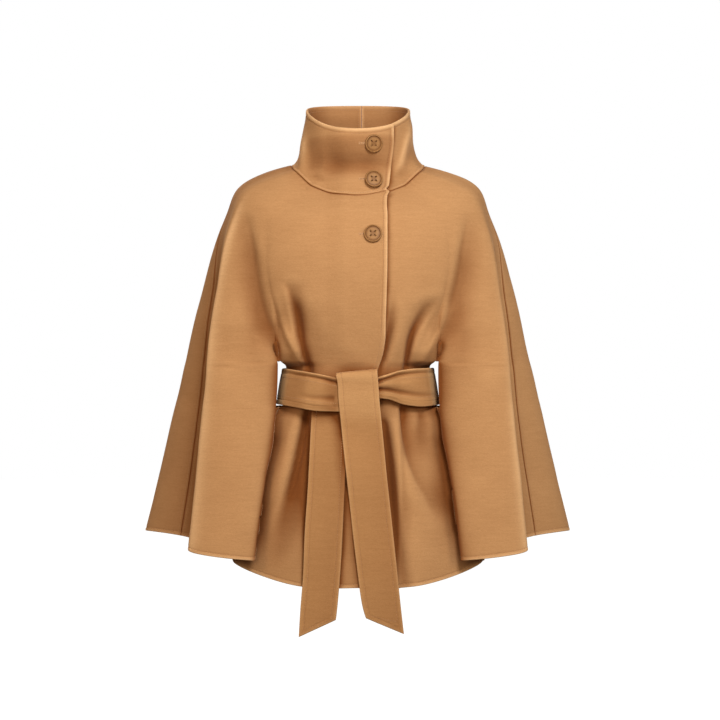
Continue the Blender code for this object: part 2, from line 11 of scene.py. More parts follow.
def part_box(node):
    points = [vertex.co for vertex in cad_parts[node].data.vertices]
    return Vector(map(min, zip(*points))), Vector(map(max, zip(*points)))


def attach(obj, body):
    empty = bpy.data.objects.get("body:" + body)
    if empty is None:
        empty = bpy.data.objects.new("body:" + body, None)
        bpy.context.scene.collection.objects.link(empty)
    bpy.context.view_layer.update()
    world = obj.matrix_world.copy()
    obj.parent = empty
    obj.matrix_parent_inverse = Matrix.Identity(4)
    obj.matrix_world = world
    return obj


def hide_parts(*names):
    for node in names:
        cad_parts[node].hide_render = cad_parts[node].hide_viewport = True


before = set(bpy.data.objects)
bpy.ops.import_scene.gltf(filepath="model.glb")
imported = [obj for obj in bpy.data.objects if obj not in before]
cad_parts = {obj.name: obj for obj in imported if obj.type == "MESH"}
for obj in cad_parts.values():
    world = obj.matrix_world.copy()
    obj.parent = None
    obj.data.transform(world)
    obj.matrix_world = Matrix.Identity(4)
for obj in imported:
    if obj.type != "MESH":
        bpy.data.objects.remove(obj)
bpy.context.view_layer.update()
SCENE = bpy.context.scene


def table(columns, rows):
    """A table with named columns, one row for each section, line or fold."""
    data = np.array(rows, float)
    return {name: data[:, i] for i, name in enumerate(columns.split())}


# ------------------------------------------------------------------ camera
camera_data = bpy.data.cameras.new("camera")
camera_data.lens, camera_data.sensor_width = 88.235, 36.0
camera = bpy.data.objects.new("camera", camera_data)
camera.location = (0.0034, -3.0, -0.3196)
camera.rotation_euler = (math.radians(90), 0, 0)
SCENE.collection.objects.link(camera)
SCENE.camera = camera

# ------------------------------------------------------------------ driving sizes, mm (the CAD's)
CLOTH, COLLAR_CLOTH, BELT_CLOTH = 3.0, 4.0, 4.0
SEAM_GAP = 0.12              # the sewn seams look closed
OVERLAP, COLLAR_OVERLAP = 4.0, 5.2
BUTTON_DIAMETER, BUTTON_THICKNESS = 30.0, 4.0
UNDER_EDGE_X = -6.0
EDGE_STITCH = 8.5            # topstitching from the front edge, the collar's rim and the belt's edges
HEM_STITCH = 6.0
SEAM_STITCH = 5.0            # topstitching beside the side seam

# ------------------------------------------------------------------ the cut (same tables as the CAD)
HEIGHTS = table("front side back", [
    [-51, 10, 28], [-72, -4, 8], [-96, -30, -22], [-122, -62, -58], [-160, -115, -112], [-215, -190, -190],
    [-275, -262, -262], [-322, -322, -322], [-331.5, -331.5, -331.5], [-388, -388, -388], [-398.5, -398.5, -398.5],
    [-448, -448, -448], [-500, -500, -500], [-688, -612, -680],
])
BODY = table("front_y turn_x turn_y lip_x lip_y", [
    [-92, 48, -84, 75, -71], [-108, 67, -99, 107, -82], [-118, 84, -112, 137, -90], [-124, 88, -119, 143, -97],
    [-128, 88, -124, 145, -102], [-127, 86, -123, 140, -101], [-119, 83, -112, 132, -88], [-110, 78, -98, 128, -76],
    [-107.5, 76, -92.5, 119, -46], [-107.5, 76, -92, 118.5, -37], [-108.8, 77, -94.3, 129, -60], [-119, 84, -105, 142, -68],
    [-131, 92, -117, 163, -72], [-150, 108, -134, 207, -74],
])
WING = table("inner_x inner_y outer_x outer_y", [
    [80, -67, 103, -43], [113, -79, 146, -50], [145, -86, 187, -54], [151, -92, 203, -56], [153, -97, 220, -60],
    [147, -96, 233, -66], [138.5, -89.5, 244, -73], [132.5, -83, 249.2, -80.3], [132.2, -82.2, 250, -82], [134, -82, 254.4, -89.2],
    [135, -83, 255.3, -91], [142, -90, 259.6, -98], [149, -100, 264, -104], [168.5, -122, 276, -117],
])
SIDE = table("recess_x recess_y seam_x seam_y wide_x wide_y", [
    [110, -27, 113.5, -8, 113.5, 8], [155, -31, 160.5, -9, 160.5, 10], [198, -34, 205, -9, 204.5, 12],
    [212, -35, 219, -7, 219, 16], [226, -38, 236, -11, 240, 18], [232, -43, 244, -22, 262, 20],
    [239, -48, 254, -28, 280, 21], [243, -52, 259.5, -32, 293.5, 22], [243.8, -53, 260.7, -33, 296.3, 22.2],
    [246.9, -56.5, 266.2, -36.5, 309.3, 23.8], [247.6, -57.6, 267.4, -37.6, 312, 24.2], [250.4, -61, 273, -40, 323.6, 26],
    [254, -65, 280, -42, 336, 28], [265, -74, 297, -47, 363, 32],
])
BACK = table("depth", [[.82], [.86], [.86], [.86], [.85], [.86], [.88], [.9], [.91], [.91], [.92], [.94], [.97], [1]])
BACK_SLIT_WIDER = 12.0
FALL = table("above hem", [[1, 1], [.86, .96], [.67, .52], [.62, .46], [.24, .27], [.12, .15], [0, .02], [0, 0]])
N_LINES = 14
SLIT_TOP_ROW, SLIT_END_ROW, HEM_ROW = 7, 10, 13
FRONT_EDGE = table("z x", [
    [-46, 49.6], [-56, 48.4], [-68, 47.6], [-90, 48.4], [-160, 48], [-225, 46.5], [-272, 44.5], [-310, 39], [-335, 32],
    [-365, 30], [-405, 33], [-500, 41], [-690, 47],
])


def half_rows():
    """The lines of the half ring for every row, (rows, lines, 3)."""
    count = len(HEIGHTS["side"])
    out = np.zeros((count, N_LINES, 3))
    lines = [(0 * BODY["front_y"], BODY["front_y"]), (BODY["turn_x"], BODY["turn_y"]), (BODY["lip_x"], BODY["lip_y"]),
             (WING["inner_x"], WING["inner_y"]), (WING["outer_x"], WING["outer_y"]),
             (SIDE["recess_x"], SIDE["recess_y"]), (SIDE["seam_x"], SIDE["seam_y"]), (SIDE["wide_x"], SIDE["wide_y"])]
    for i, (x, y) in enumerate(lines):
        out[:, i, 0], out[:, i, 1] = x, y
    for i in range(8, N_LINES):
        out[:, i, 0] = out[:, 13 - i, 0]
        out[:, i, 1] = -out[:, 13 - i, 1] * BACK["depth"]
    open_rows = np.array([0, 0, 0, 0, 0, 0, .3, .6, 1, 1, .8, .6, .3, 0])
    out[:, 10, 0] += BACK_SLIT_WIDER * open_rows
    low = np.clip((np.arange(count) - 8) / (count - 9), 0, 1)[:, None]
    share = FALL["above"] * (1 - low) + FALL["hem"] * low
    share = np.concatenate([share, share[:, [5, 4, 3, 2, 1, 0]]], axis=1)
    centre = np.where(np.arange(N_LINES) < 7, HEIGHTS["front"][:, None], HEIGHTS["back"][:, None])
    side = HEIGHTS["side"][:, None]
    out[:, :, 2] = side + (centre - side) * share
    return out


def bends(h, points, periodic):
    """Second derivatives of the smooth cubic through points with steps h."""
    n = len(points)
    a, rhs = np.zeros((n, n)), np.zeros(points.shape)
    for i in range(n) if periodic else range(1, n - 1):
        before, after = h[i - 1], h[i]
        a[i, (i - 1) % n] += before
        a[i, i] += 2 * (before + after)
        a[i, (i + 1) % n] += after
        rhs[i] = 6 * ((points[(i + 1) % n] - points[i]) / after - (points[i] - points[i - 1]) / before)
    if not periodic:
        a[0, 0] = a[-1, -1] = 1
    return a, rhs


HALF = half_rows()
MIRRORED = HALF[:, 12:0:-1].copy()
MIRRORED[..., 0] *= -1
ROW_POINTS = np.concatenate([HALF, MIRRORED], axis=1)
N_RING = ROW_POINTS.shape[1]
RINGS = []
for ring_points in ROW_POINTS:
    closed = np.concatenate([ring_points, ring_points[:1]])
    ring_step = np.linalg.norm(np.diff(closed, axis=0), axis=1) ** 0.5
    matrix, right = bends(ring_step, ring_points, True)
    bend = np.linalg.solve(matrix, right)
    RINGS.append((ring_step, closed, np.concatenate([bend, bend[:1]])))
ROW_STEPS = np.linalg.norm(np.diff(ROW_POINTS, axis=0), axis=2).mean(1)
ROW_MATRIX = np.linalg.inv(bends(ROW_STEPS, np.zeros((len(ROW_STEPS) + 1, 1)), False)[0])


def surface(lines, rows):
    """Outer face of the cape at any line and row values: lines go round, 0 the centre front, rows go down."""
    lines, rows = np.broadcast_arrays(np.asarray(lines, float), np.asarray(rows, float))
    shape = lines.shape
    lines, rows = lines.ravel() % N_RING, rows.ravel()
    k = np.floor(lines).astype(int) % N_RING
    b = (lines - np.floor(lines))[:, None]
    c = 1 - b
    columns = np.empty((len(RINGS), len(lines), 3))
    for i, (step, points, bend) in enumerate(RINGS):
        h = step[k][:, None]
        columns[i] = c * points[k] + b * points[k + 1] + ((c**3 - c) * bend[k] + (b**3 - b) * bend[k + 1]) * h**2 / 6
    h = ROW_STEPS[:, None, None]
    steps = np.diff(columns, axis=0) / h
    rhs = np.zeros_like(columns)
    rhs[1:-1] = 6 * (steps[1:] - steps[:-1])
    m = np.tensordot(ROW_MATRIX, rhs, axes=1)
    slope = np.empty_like(columns)
    slope[:-1] = steps - h / 6 * (2 * m[:-1] + m[1:])
    slope[-1] = steps[-1] + h[-1] / 6 * (m[-2] + 2 * m[-1])
    limit = 3 * np.minimum(np.abs(steps[:-1]), np.abs(steps[1:]))
    slope[1:-1] = np.clip(slope[1:-1], -limit, limit)
    k = np.clip(np.floor(rows).astype(int), 0, len(ROW_STEPS) - 1)
    t, width = (rows - k)[:, None], ROW_STEPS[k][:, None]
    at = np.arange(len(rows))
    out = ((2 * t**3 - 3 * t**2 + 1) * columns[k, at] + (t**3 - 2 * t**2 + t) * width * slope[k, at]
           + (3 * t**2 - 2 * t**3) * columns[k + 1, at] + (t**3 - t**2) * width * slope[k + 1, at])
    return out.reshape(shape + (3,))


def smooth(x, start, end):
    t = np.clip((x - start) / (end - start), 0, 1)
    return t * t * (3 - 2 * t)


def ease(at, knots, values):
    """Smooth curve through values at rising knots, flat beyond both ends."""
    knots, values = np.asarray(knots, float), np.asarray(values, float)
    h = np.diff(knots)
    steps = np.diff(values) / h
    slope = np.zeros(len(knots))
    same = steps[:-1] * steps[1:] > 0
    slope[1:-1] = np.where(same, 2 * steps[:-1] * steps[1:] / np.where(same, steps[:-1] + steps[1:], 1), 0)
    at = np.clip(at, knots[0], knots[-1])
    k = np.clip(np.searchsorted(knots, at, side="right") - 1, 0, len(h) - 1)
    t, w = (at - knots[k]) / h[k], h[k]
    return ((2 * t**3 - 3 * t**2 + 1) * values[k] + (t**3 - 2 * t**2 + t) * w * slope[k]
            + (3 * t**2 - 2 * t**3) * values[k + 1] + (t**3 - t**2) * w * slope[k + 1])


# ------------------------------------------------------------------ folds, placed one by one
# Each fold runs down the cloth: x and z of its line, how far it stands out (+) or sinks (-), and how far it spreads to either side.
FOLD_COLUMNS = "x z out left right"
# Where the body lies in the shade of the wings and the belt: x, z, how much, and its half-width and half-height.
BODY_SHADE = table("x z much wide high", [
    [-96, -520, .08, 34, 64], [-112, -604, .26, 60, 60], [108, -442, .36, 28, 54], [138, -520, .42, 20, 62], [-12, -640, .3, 22, 90], [0, -352, .12, 120, 26],
])
FRONT_FOLDS = [
    # above the belt, wearer's right: the long crease and the ridge beside it, run into the belt
    [[-117, -186, 0, 8, 24], [-112, -206, -5, 5.5, 20], [-104.5, -250, -12, 4.2, 13], [-98.5, -282, -13.5, 3.8, 11],
     [-91.5, -308, -12.5, 3.6, 10], [-85.5, -334, -8, 3.6, 9], [-83, -364, -4, 5, 12], [-84, -398, -4, 5, 14],
     [-86, -410, -7, 4, 16]],
    [[-112, -206, 0, 10, 30], [-88, -252, -3.5, 12, 30], [-78, -300, -4, 12, 26], [-74, -336, -2, 10, 22], [-74, -356, 0, 10, 20]],
    [[-144, -196, 0, 12, 12], [-131, -236, 4.6, 11, 9], [-115, -282, 5.6, 9, 7], [-101.5, -308, 4.2, 8, 5.5],
     [-90.5, -334, 2.2, 7, 4], [-88, -350, 0, 8, 4]],
    # the long valley between chest and arm, shoulder to slit, wearer's right
    [[-193, -60, 0, 30, 12], [-185, -92, -4.6, 30, 11], [-179, -125, -7.6, 30, 10], [-172.5, -160, -9.5, 32, 10],
     [-166, -196, -9.5, 32, 10], [-157.5, -232, -9, 34, 9.5], [-148, -262, -8.5, 34, 9], [-139, -286, -6, 30, 9],
     [-134, -304, -2.4, 22, 9], [-131, -318, 0, 18, 10]],
    # the valley between that ridge and the slit
    [[-137, -250, 0, 10, 7], [-128, -272, -3.4, 10, 6], [-119, -292, -2.2, 10, 6], [-112, -308, -.6, 10, 6], [-108, -318, 0, 9, 6]],
    [[-30, -292, 0, 32, 26], [-22, -318, -2.4, 30, 22], [-16, -338, -3.6, 26, 20], [-14, -360, 0, 24, 18]],
    # above the belt, wearer's left: the crease under the front edge, then two that run into the belt
    [[57, -196, 0, 4, 9], [56, -230, -2.4, 4, 8], [54.5, -252, -5.5, 4, 9], [50.5, -276, -7.5, 4, 9],
     [43.5, -306, -6.5, 4, 8], [36.5, -330, -4, 5, 8], [34, -350, 0, 7, 8]],
    [[122, -212, 0, 15, 12], [113, -234, -5.5, 13, 9], [103, -255, -10, 11, 6], [93.5, -273, -12, 9, 5],
     [86.5, -292, -12.5, 7.5, 4.6], [83, -310, -11.5, 6.5, 4.4], [81, -330, -7.5, 6, 4.4], [78, -364, -4, 6, 9],
     [75, -394, -4.5, 5, 16]],
    [[154, -210, 0, 12, 10], [140, -254, 4.4, 12, 8], [124, -290, 5.6, 10, 6], [107, -318, 5.0, 8, 6], [98, -340, 0, 8, 8]],
    # the long valley between chest and arm, wearer's left
    [[189, -64, 0, 10, 26], [182, -100, -4.4, 10, 28], [176, -135, -7.8, 9.5, 30], [169, -172, -9.8, 9, 32],
     [160.5, -206, -9.5, 9, 32], [152, -240, -9, 9, 34], [143, -268, -7.5, 9, 32], [136, -290, -4.5, 9, 28],
     [132, -306, -2, 9, 22], [130, -320, 0, 10, 16]],
    # the valley between that ridge and the slit
    [[136, -252, 0, 6, 9], [127, -274, -3.4, 6, 9], [118, -294, -2.2, 6, 9], [111, -309, -.6, 6, 9], [106, -320, 0, 6, 9]],
    [[66, -200, 0, 9, 20], [69, -244, 2.4, 9, 18], [63, -286, 3.6, 9, 14], [52, -318, 3.0, 8, 12], [46, -340, 0, 8, 12]],
    # below the belt, wearer's right
    [[-86, -396, 0, 5, 8], [-88, -410, -9, 4.2, 7], [-93.5, -436, -12, 3.6, 9], [-99.5, -462, -14, 3.8, 18],
     [-110, -514, -14, 5.5, 32], [-121, -566, -9, 10, 36], [-129, -622, -4, 16, 32], [-135, -690, 0, 20, 30]],
    [[-97, -398, 0, 14, 8], [-104, -414, 3.0, 18, 7], [-116, -462, 5.4, 16, 9], [-128, -516, 4.4, 16, 11], [-141, -566, 0, 16, 14]],
    [[-58, -394, 0, 18, 14], [-58, -416, -8, 20, 16], [-60, -480, -14, 26, 20], [-66, -560, -9, 30, 22], [-70, -640, 0, 26, 20]],
    [[-87, -400, 0, 3, 5], [-91, -420, -3, 3, 5], [-101, -462, -5, 3, 6], [-112, -514, -4, 3.6, 8], [-123, -560, 0, 6, 10]],
    [[-76, -404, 0, 6, 8], [-80, -424, 3, 7, 8], [-86, -452, 0, 8, 8]],
    # beside the belt's tails: the cloth sinks away behind them
    [[-22, -470, 0, 8, 12], [-24, -520, -5, 8, 10], [-29, -590, -6, 9, 10], [-34, -660, -2.5, 10, 12], [-36, -700, 0, 10, 12]],
    [[42, -404, 0, 8, 6], [45, -426, -10, 8, 6.5], [50, -470, -18, 9, 8], [55, -530, -20, 9, 9], [60, -590, -16, 10, 9],
     [64, -650, -7, 10, 10], [66, -690, 0, 10, 10]],
    # below the belt, wearer's left: the fold that swings out towards the arm
    [[72, -392, 0, 4, 12], [72.5, -406, -6.5, 3.6, 12], [74, -422, -6, 3.6, 14], [81, -462, -5.5, 4.2, 22],
     [98, -514, -5, 6, 26], [120, -550, -3.5, 10, 26], [139, -596, 0, 16, 24]],
    [[62, -398, 0, 10, 9], [61, -424, 2.6, 11, 8], [68, -466, 4.4, 13, 8], [84, -520, 3.8, 16, 12], [98, -570, 0, 18, 16]],
    [[108, -398, 0, 8, 8], [106, -412, -5, 8, 9], [106, -450, -3, 12, 14], [108, -490, 0, 14, 16]],
    # the body sinks away behind the wings
    [[134, -440, 0, 12, 9], [139, -480, -3, 18, 10], [147, -530, -5, 22, 10], [154, -590, -4, 22, 12], [160, -650, 0, 20, 14]],
    [[-146, -470, 0, 8, 8], [-154, -520, -3, 9, 10], [-160, -590, -3, 12, 12], [-166, -650, 0, 14, 14]],
]
BACK_FOLDS = [
    [[118, -170, 0, 22, 14], [110, -210, -8, 20, 8], [99, -258, -16, 18, 6], [90, -298, -18, 14, 5], [84, -334, -12, 11, 4],
     [84, -366, -5, 12, 5], [86, -400, -9, 15, 5], [94, -440, -17, 22, 5], [106, -500, -15, 27, 9], [118, -580, -7, 28, 14],
     [128, -660, 0, 28, 18]],
    [[134, -206, 0, 12, 12], [116, -270, 5, 8, 9], [99, -312, 4.6, 6, 8], [92, -346, 0, 5, 8]],
    [[44, -220, 0, 24, 18], [42, -262, -8, 20, 12], [37, -306, -12, 15, 8], [34, -334, -9, 10, 7], [33, -366, -4, 10, 8],
     [35, -402, -8, 9, 14], [42, -446, -12, 10, 18], [53, -510, -8, 16, 22], [64, -590, 0, 24, 26]],
    [[-8, -246, 0, 18, 20], [-6, -292, 3.6, 14, 16], [-2, -328, 3.4, 10, 12], [-2, -352, 0, 10, 12]],
    [[-38, -200, 0, 16, 22], [-42, -255, -9, 9, 20], [-44, -304, -14, 6, 16], [-44, -336, -9, 6, 11], [-44, -368, -4, 8, 10],
     [-46, -402, -8, 14, 7], [-58, -456, -14, 20, 7], [-70, -526, -8.5, 24, 12], [-78, -606, 0, 24, 18]],
    [[-114, -184, 0, 14, 22], [-104, -236, -9, 8, 20], [-94, -286, -18, 5.5, 17], [-86, -322, -15, 5, 12], [-82, -350, -7, 5, 10],
     [-80, -384, -5, 6, 12], [-84, -412, -12, 5, 18], [-97, -464, -17, 6, 25], [-118, -540, -11, 11, 29], [-132, -620, -4, 18, 28],
     [-138, -670, 0, 20, 28]],
    [[-130, -220, 0, 12, 10], [-112, -282, 5, 10, 7], [-97, -318, 4.2, 8, 6], [-90, -346, 0, 8, 5]],
    [[10, -398, 0, 14, 12], [6, -430, 4, 18, 12], [0, -500, 3.6, 24, 18], [-6, -590, 0, 28, 24]],
    [[162, -90, 0, 10, 22], [150, -150, -4, 9, 24], [140, -210, -7, 8, 20], [126, -262, -8, 7, 14], [112, -306, -5, 7, 10], [104, -340, 0, 8, 10]],
    [[-166, -84, 0, 24, 10], [-156, -146, -4.6, 24, 9], [-144, -206, -7.5, 20, 8], [-128, -260, -9, 15, 7], [-112, -308, -6, 10, 6], [-104, -342, 0, 10, 8]],
]
# Wings and sides: soft hanging waves, by line value round the ring, amplitude at the shoulder and at the hem.
SIDE_WAVES = table("line width top hem", [
    [3.35, .34, .3, 1.6], [4.55, .3, -.4, -1.8], [5.55, .4, .5, 1.6], [6.9, .5, -.8, -3.0], [7.7, .45, .8, 3.2], [8.6, .4, -.9, -2.6],
    [9.4, .36, .5, 2.0], [16.7, .4, .7, 2.4], [17.5, .45, -.9, -3.0], [18.4, .5, .9, 2.8], [19.3, .45, -.5, -2.4],
    [20.5, .4, .4, 1.4], [21.4, .34, -.3, -1.4], [22.6, .34, .3, 1.8],
])


WING_SWING = table("z out", [
    [-240, 0], [-268, 0], [-286, .9], [-303, 2.3], [-313, 3.2], [-322, 3.5], [-326.5, 1.8], [-331.5, -.6], [-344, -1.9], [-359, -2.3],
    [-374, -1.4], [-388, .7], [-398.5, 2.6], [-412, 3.3], [-422, 3.1], [-435, 2.4], [-448, 1.4], [-474, 0], [-500, 0],
])
# Where the arms' cloth lies in the shade of the chest's folds.
ARM_SHADE = table("x z much wide high", [[-163, -284, .4, 26, 54], [166, -286, .58, 26, 52]])


def fold_field(folds, x, z):
    total = np.zeros(x.shape)
    for rows in folds:
        f = table(FOLD_COLUMNS, rows)
        depth_of = -f["z"]
        line = ease(-z, depth_of, f["x"])
        slope = (ease(-z + 2, depth_of, f["x"]) - ease(-z - 2, depth_of, f["x"])) / 4
        off = (x - line) / np.sqrt(1 + slope**2)
        spread = np.where(off < 0, ease(-z, depth_of, f["left"]), ease(-z, depth_of, f["right"]))
        total += ease(-z, depth_of, f["out"]) * np.exp(-(off / spread) ** 2)
    return total


def ripple(p, size, seed):
    """Slow uneven swell of the cloth, -1 to 1, the same every run."""
    x, y, z = p[..., 0] / size, p[..., 1] / size, p[..., 2] / size
    return (np.sin(1.7 * x + 0.9 * z + seed) * np.sin(1.1 * z - 0.6 * x + 2.3 * seed + 0.8 * y)
            + .5 * np.sin(2.9 * z + 1.3 * y + 1.7 * seed) * np.sin(2.3 * x - 1.9 * y + 0.4 * seed))


def relief(p, lines, rows):
    """How far the cloth stands out from its plain form, mm."""
    ring = lines % N_RING
    # above the slits the front's folds run on over the wing; at the slits they stop short of the lip
    cut = 2.0 + 1.7 * (1 - smooth(rows, 6.5, 6.98)) + .75 * smooth(rows, 10.0, 11.0)
    front = np.maximum(1 - smooth(ring, cut, cut + .6), smooth(ring, 25.4 - cut, 26 - cut))
    behind = smooth(ring, 9.8, 10.2) * (1 - smooth(ring, 15.8, 16.2))
    out = front * fold_field(FRONT_FOLDS, p[..., 0], p[..., 2]) + behind * fold_field(BACK_FOLDS, p[..., 0], p[..., 2])
    down = rows / HEM_ROW
    for i in range(len(SIDE_WAVES["line"])):
        bump = np.exp(-((ring - SIDE_WAVES["line"][i]) / SIDE_WAVES["width"][i]) ** 2)
        out += bump * (SIDE_WAVES["top"][i] + (SIDE_WAVES["hem"][i] - SIDE_WAVES["top"][i]) * smooth(down, .2, 1.0))
    # the wings swing out evenly past the ends of the slits
    wing = np.sin(np.pi * np.clip(ring - 3, 0, 1)) + np.sin(np.pi * np.clip(10 - ring, 0, 1)) + np.sin(np.pi * np.clip(ring - 16, 0, 1)) + np.sin(np.pi * np.clip(23 - ring, 0, 1))
    out += wing * ease(-p[..., 2], -WING_SWING["z"], WING_SWING["out"])
    free = 1 - (front + behind) * smooth(-p[..., 2], 318, 330) * (1 - smooth(-p[..., 2], 398, 410))
    out += ripple(p, 62, 1.3) * .7 * free + ripple(p, 27, 4.1) * .22 * free
    # nothing stands out into the belt or its tails
    under_belt = (front + behind) * smooth(-p[..., 2], 322, 334) * (1 - smooth(-p[..., 2], 396, 406))
    return np.where(out > 0, out * (1 - .9 * np.clip(under_belt, 0, 1)), out)


# ------------------------------------------------------------------ grids of cloth
def spaced(start, end, row, first, last, count, curve):
    """Line values from start to end along one row: at the distances first from the start and last from the end, even between."""
    fine = np.linspace(start, end, 160)
    p = curve(fine, np.full(fine.shape, row))
    s = np.concatenate([[0], np.cumsum(np.linalg.norm(np.diff(p, axis=0), axis=1))])
    scale = min(1.0, .45 * s[-1] / max(max(first, default=0) + max(last, default=0), 1e-6))
    near = [d * scale for d in first] or [0.0]
    far = [s[-1] - d * scale for d in last][::-1] or [s[-1]]
    want = near[:-1] + list(np.linspace(near[-1], far[0], count)) + far[1:]
    return np.interp(want, s, fine)


def grid_normal(p):
    n = np.cross(np.gradient(p, axis=0), np.gradient(p, axis=1))
    return n / np.maximum(np.linalg.norm(n, axis=2, keepdims=True), 1e-9)


def run_lengths(p, axis):
    step = np.linalg.norm(np.diff(p, axis=axis), axis=2)
    zero = np.zeros((1, p.shape[1]) if axis == 0 else (p.shape[0], 1))
    return np.concatenate([zero, np.cumsum(step, axis=axis)], axis=axis)


def half_thickness(distance, thickness, radius):
    """Half the wall, rounded off towards an edge."""
    t = np.clip(1 - distance / radius, 0, 1)
    return thickness / 2 * np.sqrt(np.maximum(1 - t * t, 0))


def cloth_mesh(name, outer, inner, shut, keep=None, ring=False, fields=None):
    """A closed wall of two grids that share their vertices wherever shut is true."""
    rows, cols = outer.shape[:2]
    cells = cols if ring else cols - 1
    keep = np.ones((rows - 1, cells), bool) if keep is None else keep
    index = np.arange(rows * cols).reshape(rows, cols)
    back = np.where(shut, index, index + rows * cols)
    i, j = np.nonzero(keep)
    k = (j + 1) % cols
    front_faces = np.stack([index[i + 1, j], index[i + 1, k], index[i, k], index[i, j]], axis=1)
    back_faces = np.stack([back[i, j], back[i, k], back[i + 1, k], back[i + 1, j]], axis=1)
    faces = np.concatenate([front_faces, back_faces])
    points = np.concatenate([outer.reshape(-1, 3), inner.reshape(-1, 3)])
    used, faces = np.unique(faces, return_inverse=True)
    faces = faces.reshape(-1, 4)
    mesh = bpy.data.meshes.new(name)
    mesh.vertices.add(len(used))
    mesh.vertices.foreach_set("co", (points[used] / 1000).astype(np.float32).ravel())
    mesh.loops.add(faces.size)
    mesh.loops.foreach_set("vertex_index", faces.astype(np.int32).ravel())
    mesh.polygons.add(len(faces))
    mesh.polygons.foreach_set("loop_start", np.arange(0, faces.size, 4, dtype=np.int32))
    mesh.polygons.foreach_set("loop_total", np.full(len(faces), 4, np.int32))
    mesh.update(calc_edges=True)
    mesh.validate()
    mesh.shade_smooth()
    for field, values in (fields or {}).items():
        outside, inside = values if isinstance(values, tuple) else (values, values)
        both = np.concatenate([outside.ravel(), inside.ravel()])[used].astype(np.float32)
        mesh.attributes.new(field, "FLOAT", "POINT").data.foreach_set("value", both)
    obj = bpy.data.objects.new(name, mesh)
    SCENE.collection.objects.link(obj)
    return obj


def crest_of(p, n, reach=3):
    """Positive on ridges and edges, negative in creases: how far a point stands out from its neighbours, mm."""
    total = np.zeros(p.shape[:2])
    for axis in (0, 1):
        ahead = np.take(p, np.clip(np.arange(p.shape[axis]) + reach, 0, p.shape[axis] - 1), axis=axis)
        behind = np.take(p, np.clip(np.arange(p.shape[axis]) - reach, 0, p.shape[axis] - 1), axis=axis)
        total += ((p - (ahead + behind) / 2) * n).sum(axis=2)
    return np.clip(total / 1.2, -1, 1)


FREE = [0, .12, .45, 1.0, 1.6]
STITCH_RUN = [-2.0, -1.2, -.55, 0, .55, 1.2, 2.0]


def with_stitch(distance):
    return FREE + [3.0] + [distance + d for d in STITCH_RUN] + [distance + 4]


def seam_line_pair():
    """Line values just either side of the side seam, as a curve over the rows."""
    rows = np.linspace(0, HEM_ROW, 60)
    e = .01
    before = np.linalg.norm(surface(6.0, rows) - surface(6 - e, rows), axis=1) / e
    after = np.linalg.norm(surface(6 + e, rows) - surface(6.0, rows), axis=1) / e
    return rows, 6 - SEAM_GAP / 2 / before, 6 + SEAM_GAP / 2 / after


SEAM_ROWS, SEAM_FRONT, SEAM_BACK = seam_line_pair()


def line_at_x(x, row):
    lines = np.linspace(-1.4, 1.4, 113)
    return float(np.interp(x, surface(lines, row)[:, 0], lines))


def front_edge_line(side, row):
    if side < 0:
        z = surface(0.0, row)[2]
        return line_at_x(ease(-z, -FRONT_EDGE["z"], FRONT_EDGE["x"]), row)
    return line_at_x(UNDER_EDGE_X, row)


def row_plan(quick):
    """Rows of the panels: (row value, distance in mm added to it along the cloth)."""
    step = 8.0 if quick else 4.2
    plan = [(0, d) for d in [0, .12, .45, 1.0, 2.0, 4.0]]

    def fill(start, end):
        length = np.interp(end, np.arange(14), KNOTS) - np.interp(start, np.arange(14), KNOTS)
        return [(v, 0) for v in np.linspace(start, end, max(2, int(length / step)))]

    plan += fill(.35, 6.7)
    plan += [(7, -d) for d in (3.4, 1.6, 1.0, .45, .12, 0)]
    plan += fill(7.12, 9.86)
    plan += [(10, d) for d in (0, .12, .45, 1.0, 1.6, 3.4)]
    plan += fill(10.3, 12.86)
    plan += [(13, -d) for d in with_stitch(HEM_STITCH)[::-1]]
    return plan


KNOTS = np.concatenate([[0], np.cumsum(ROW_STEPS)])


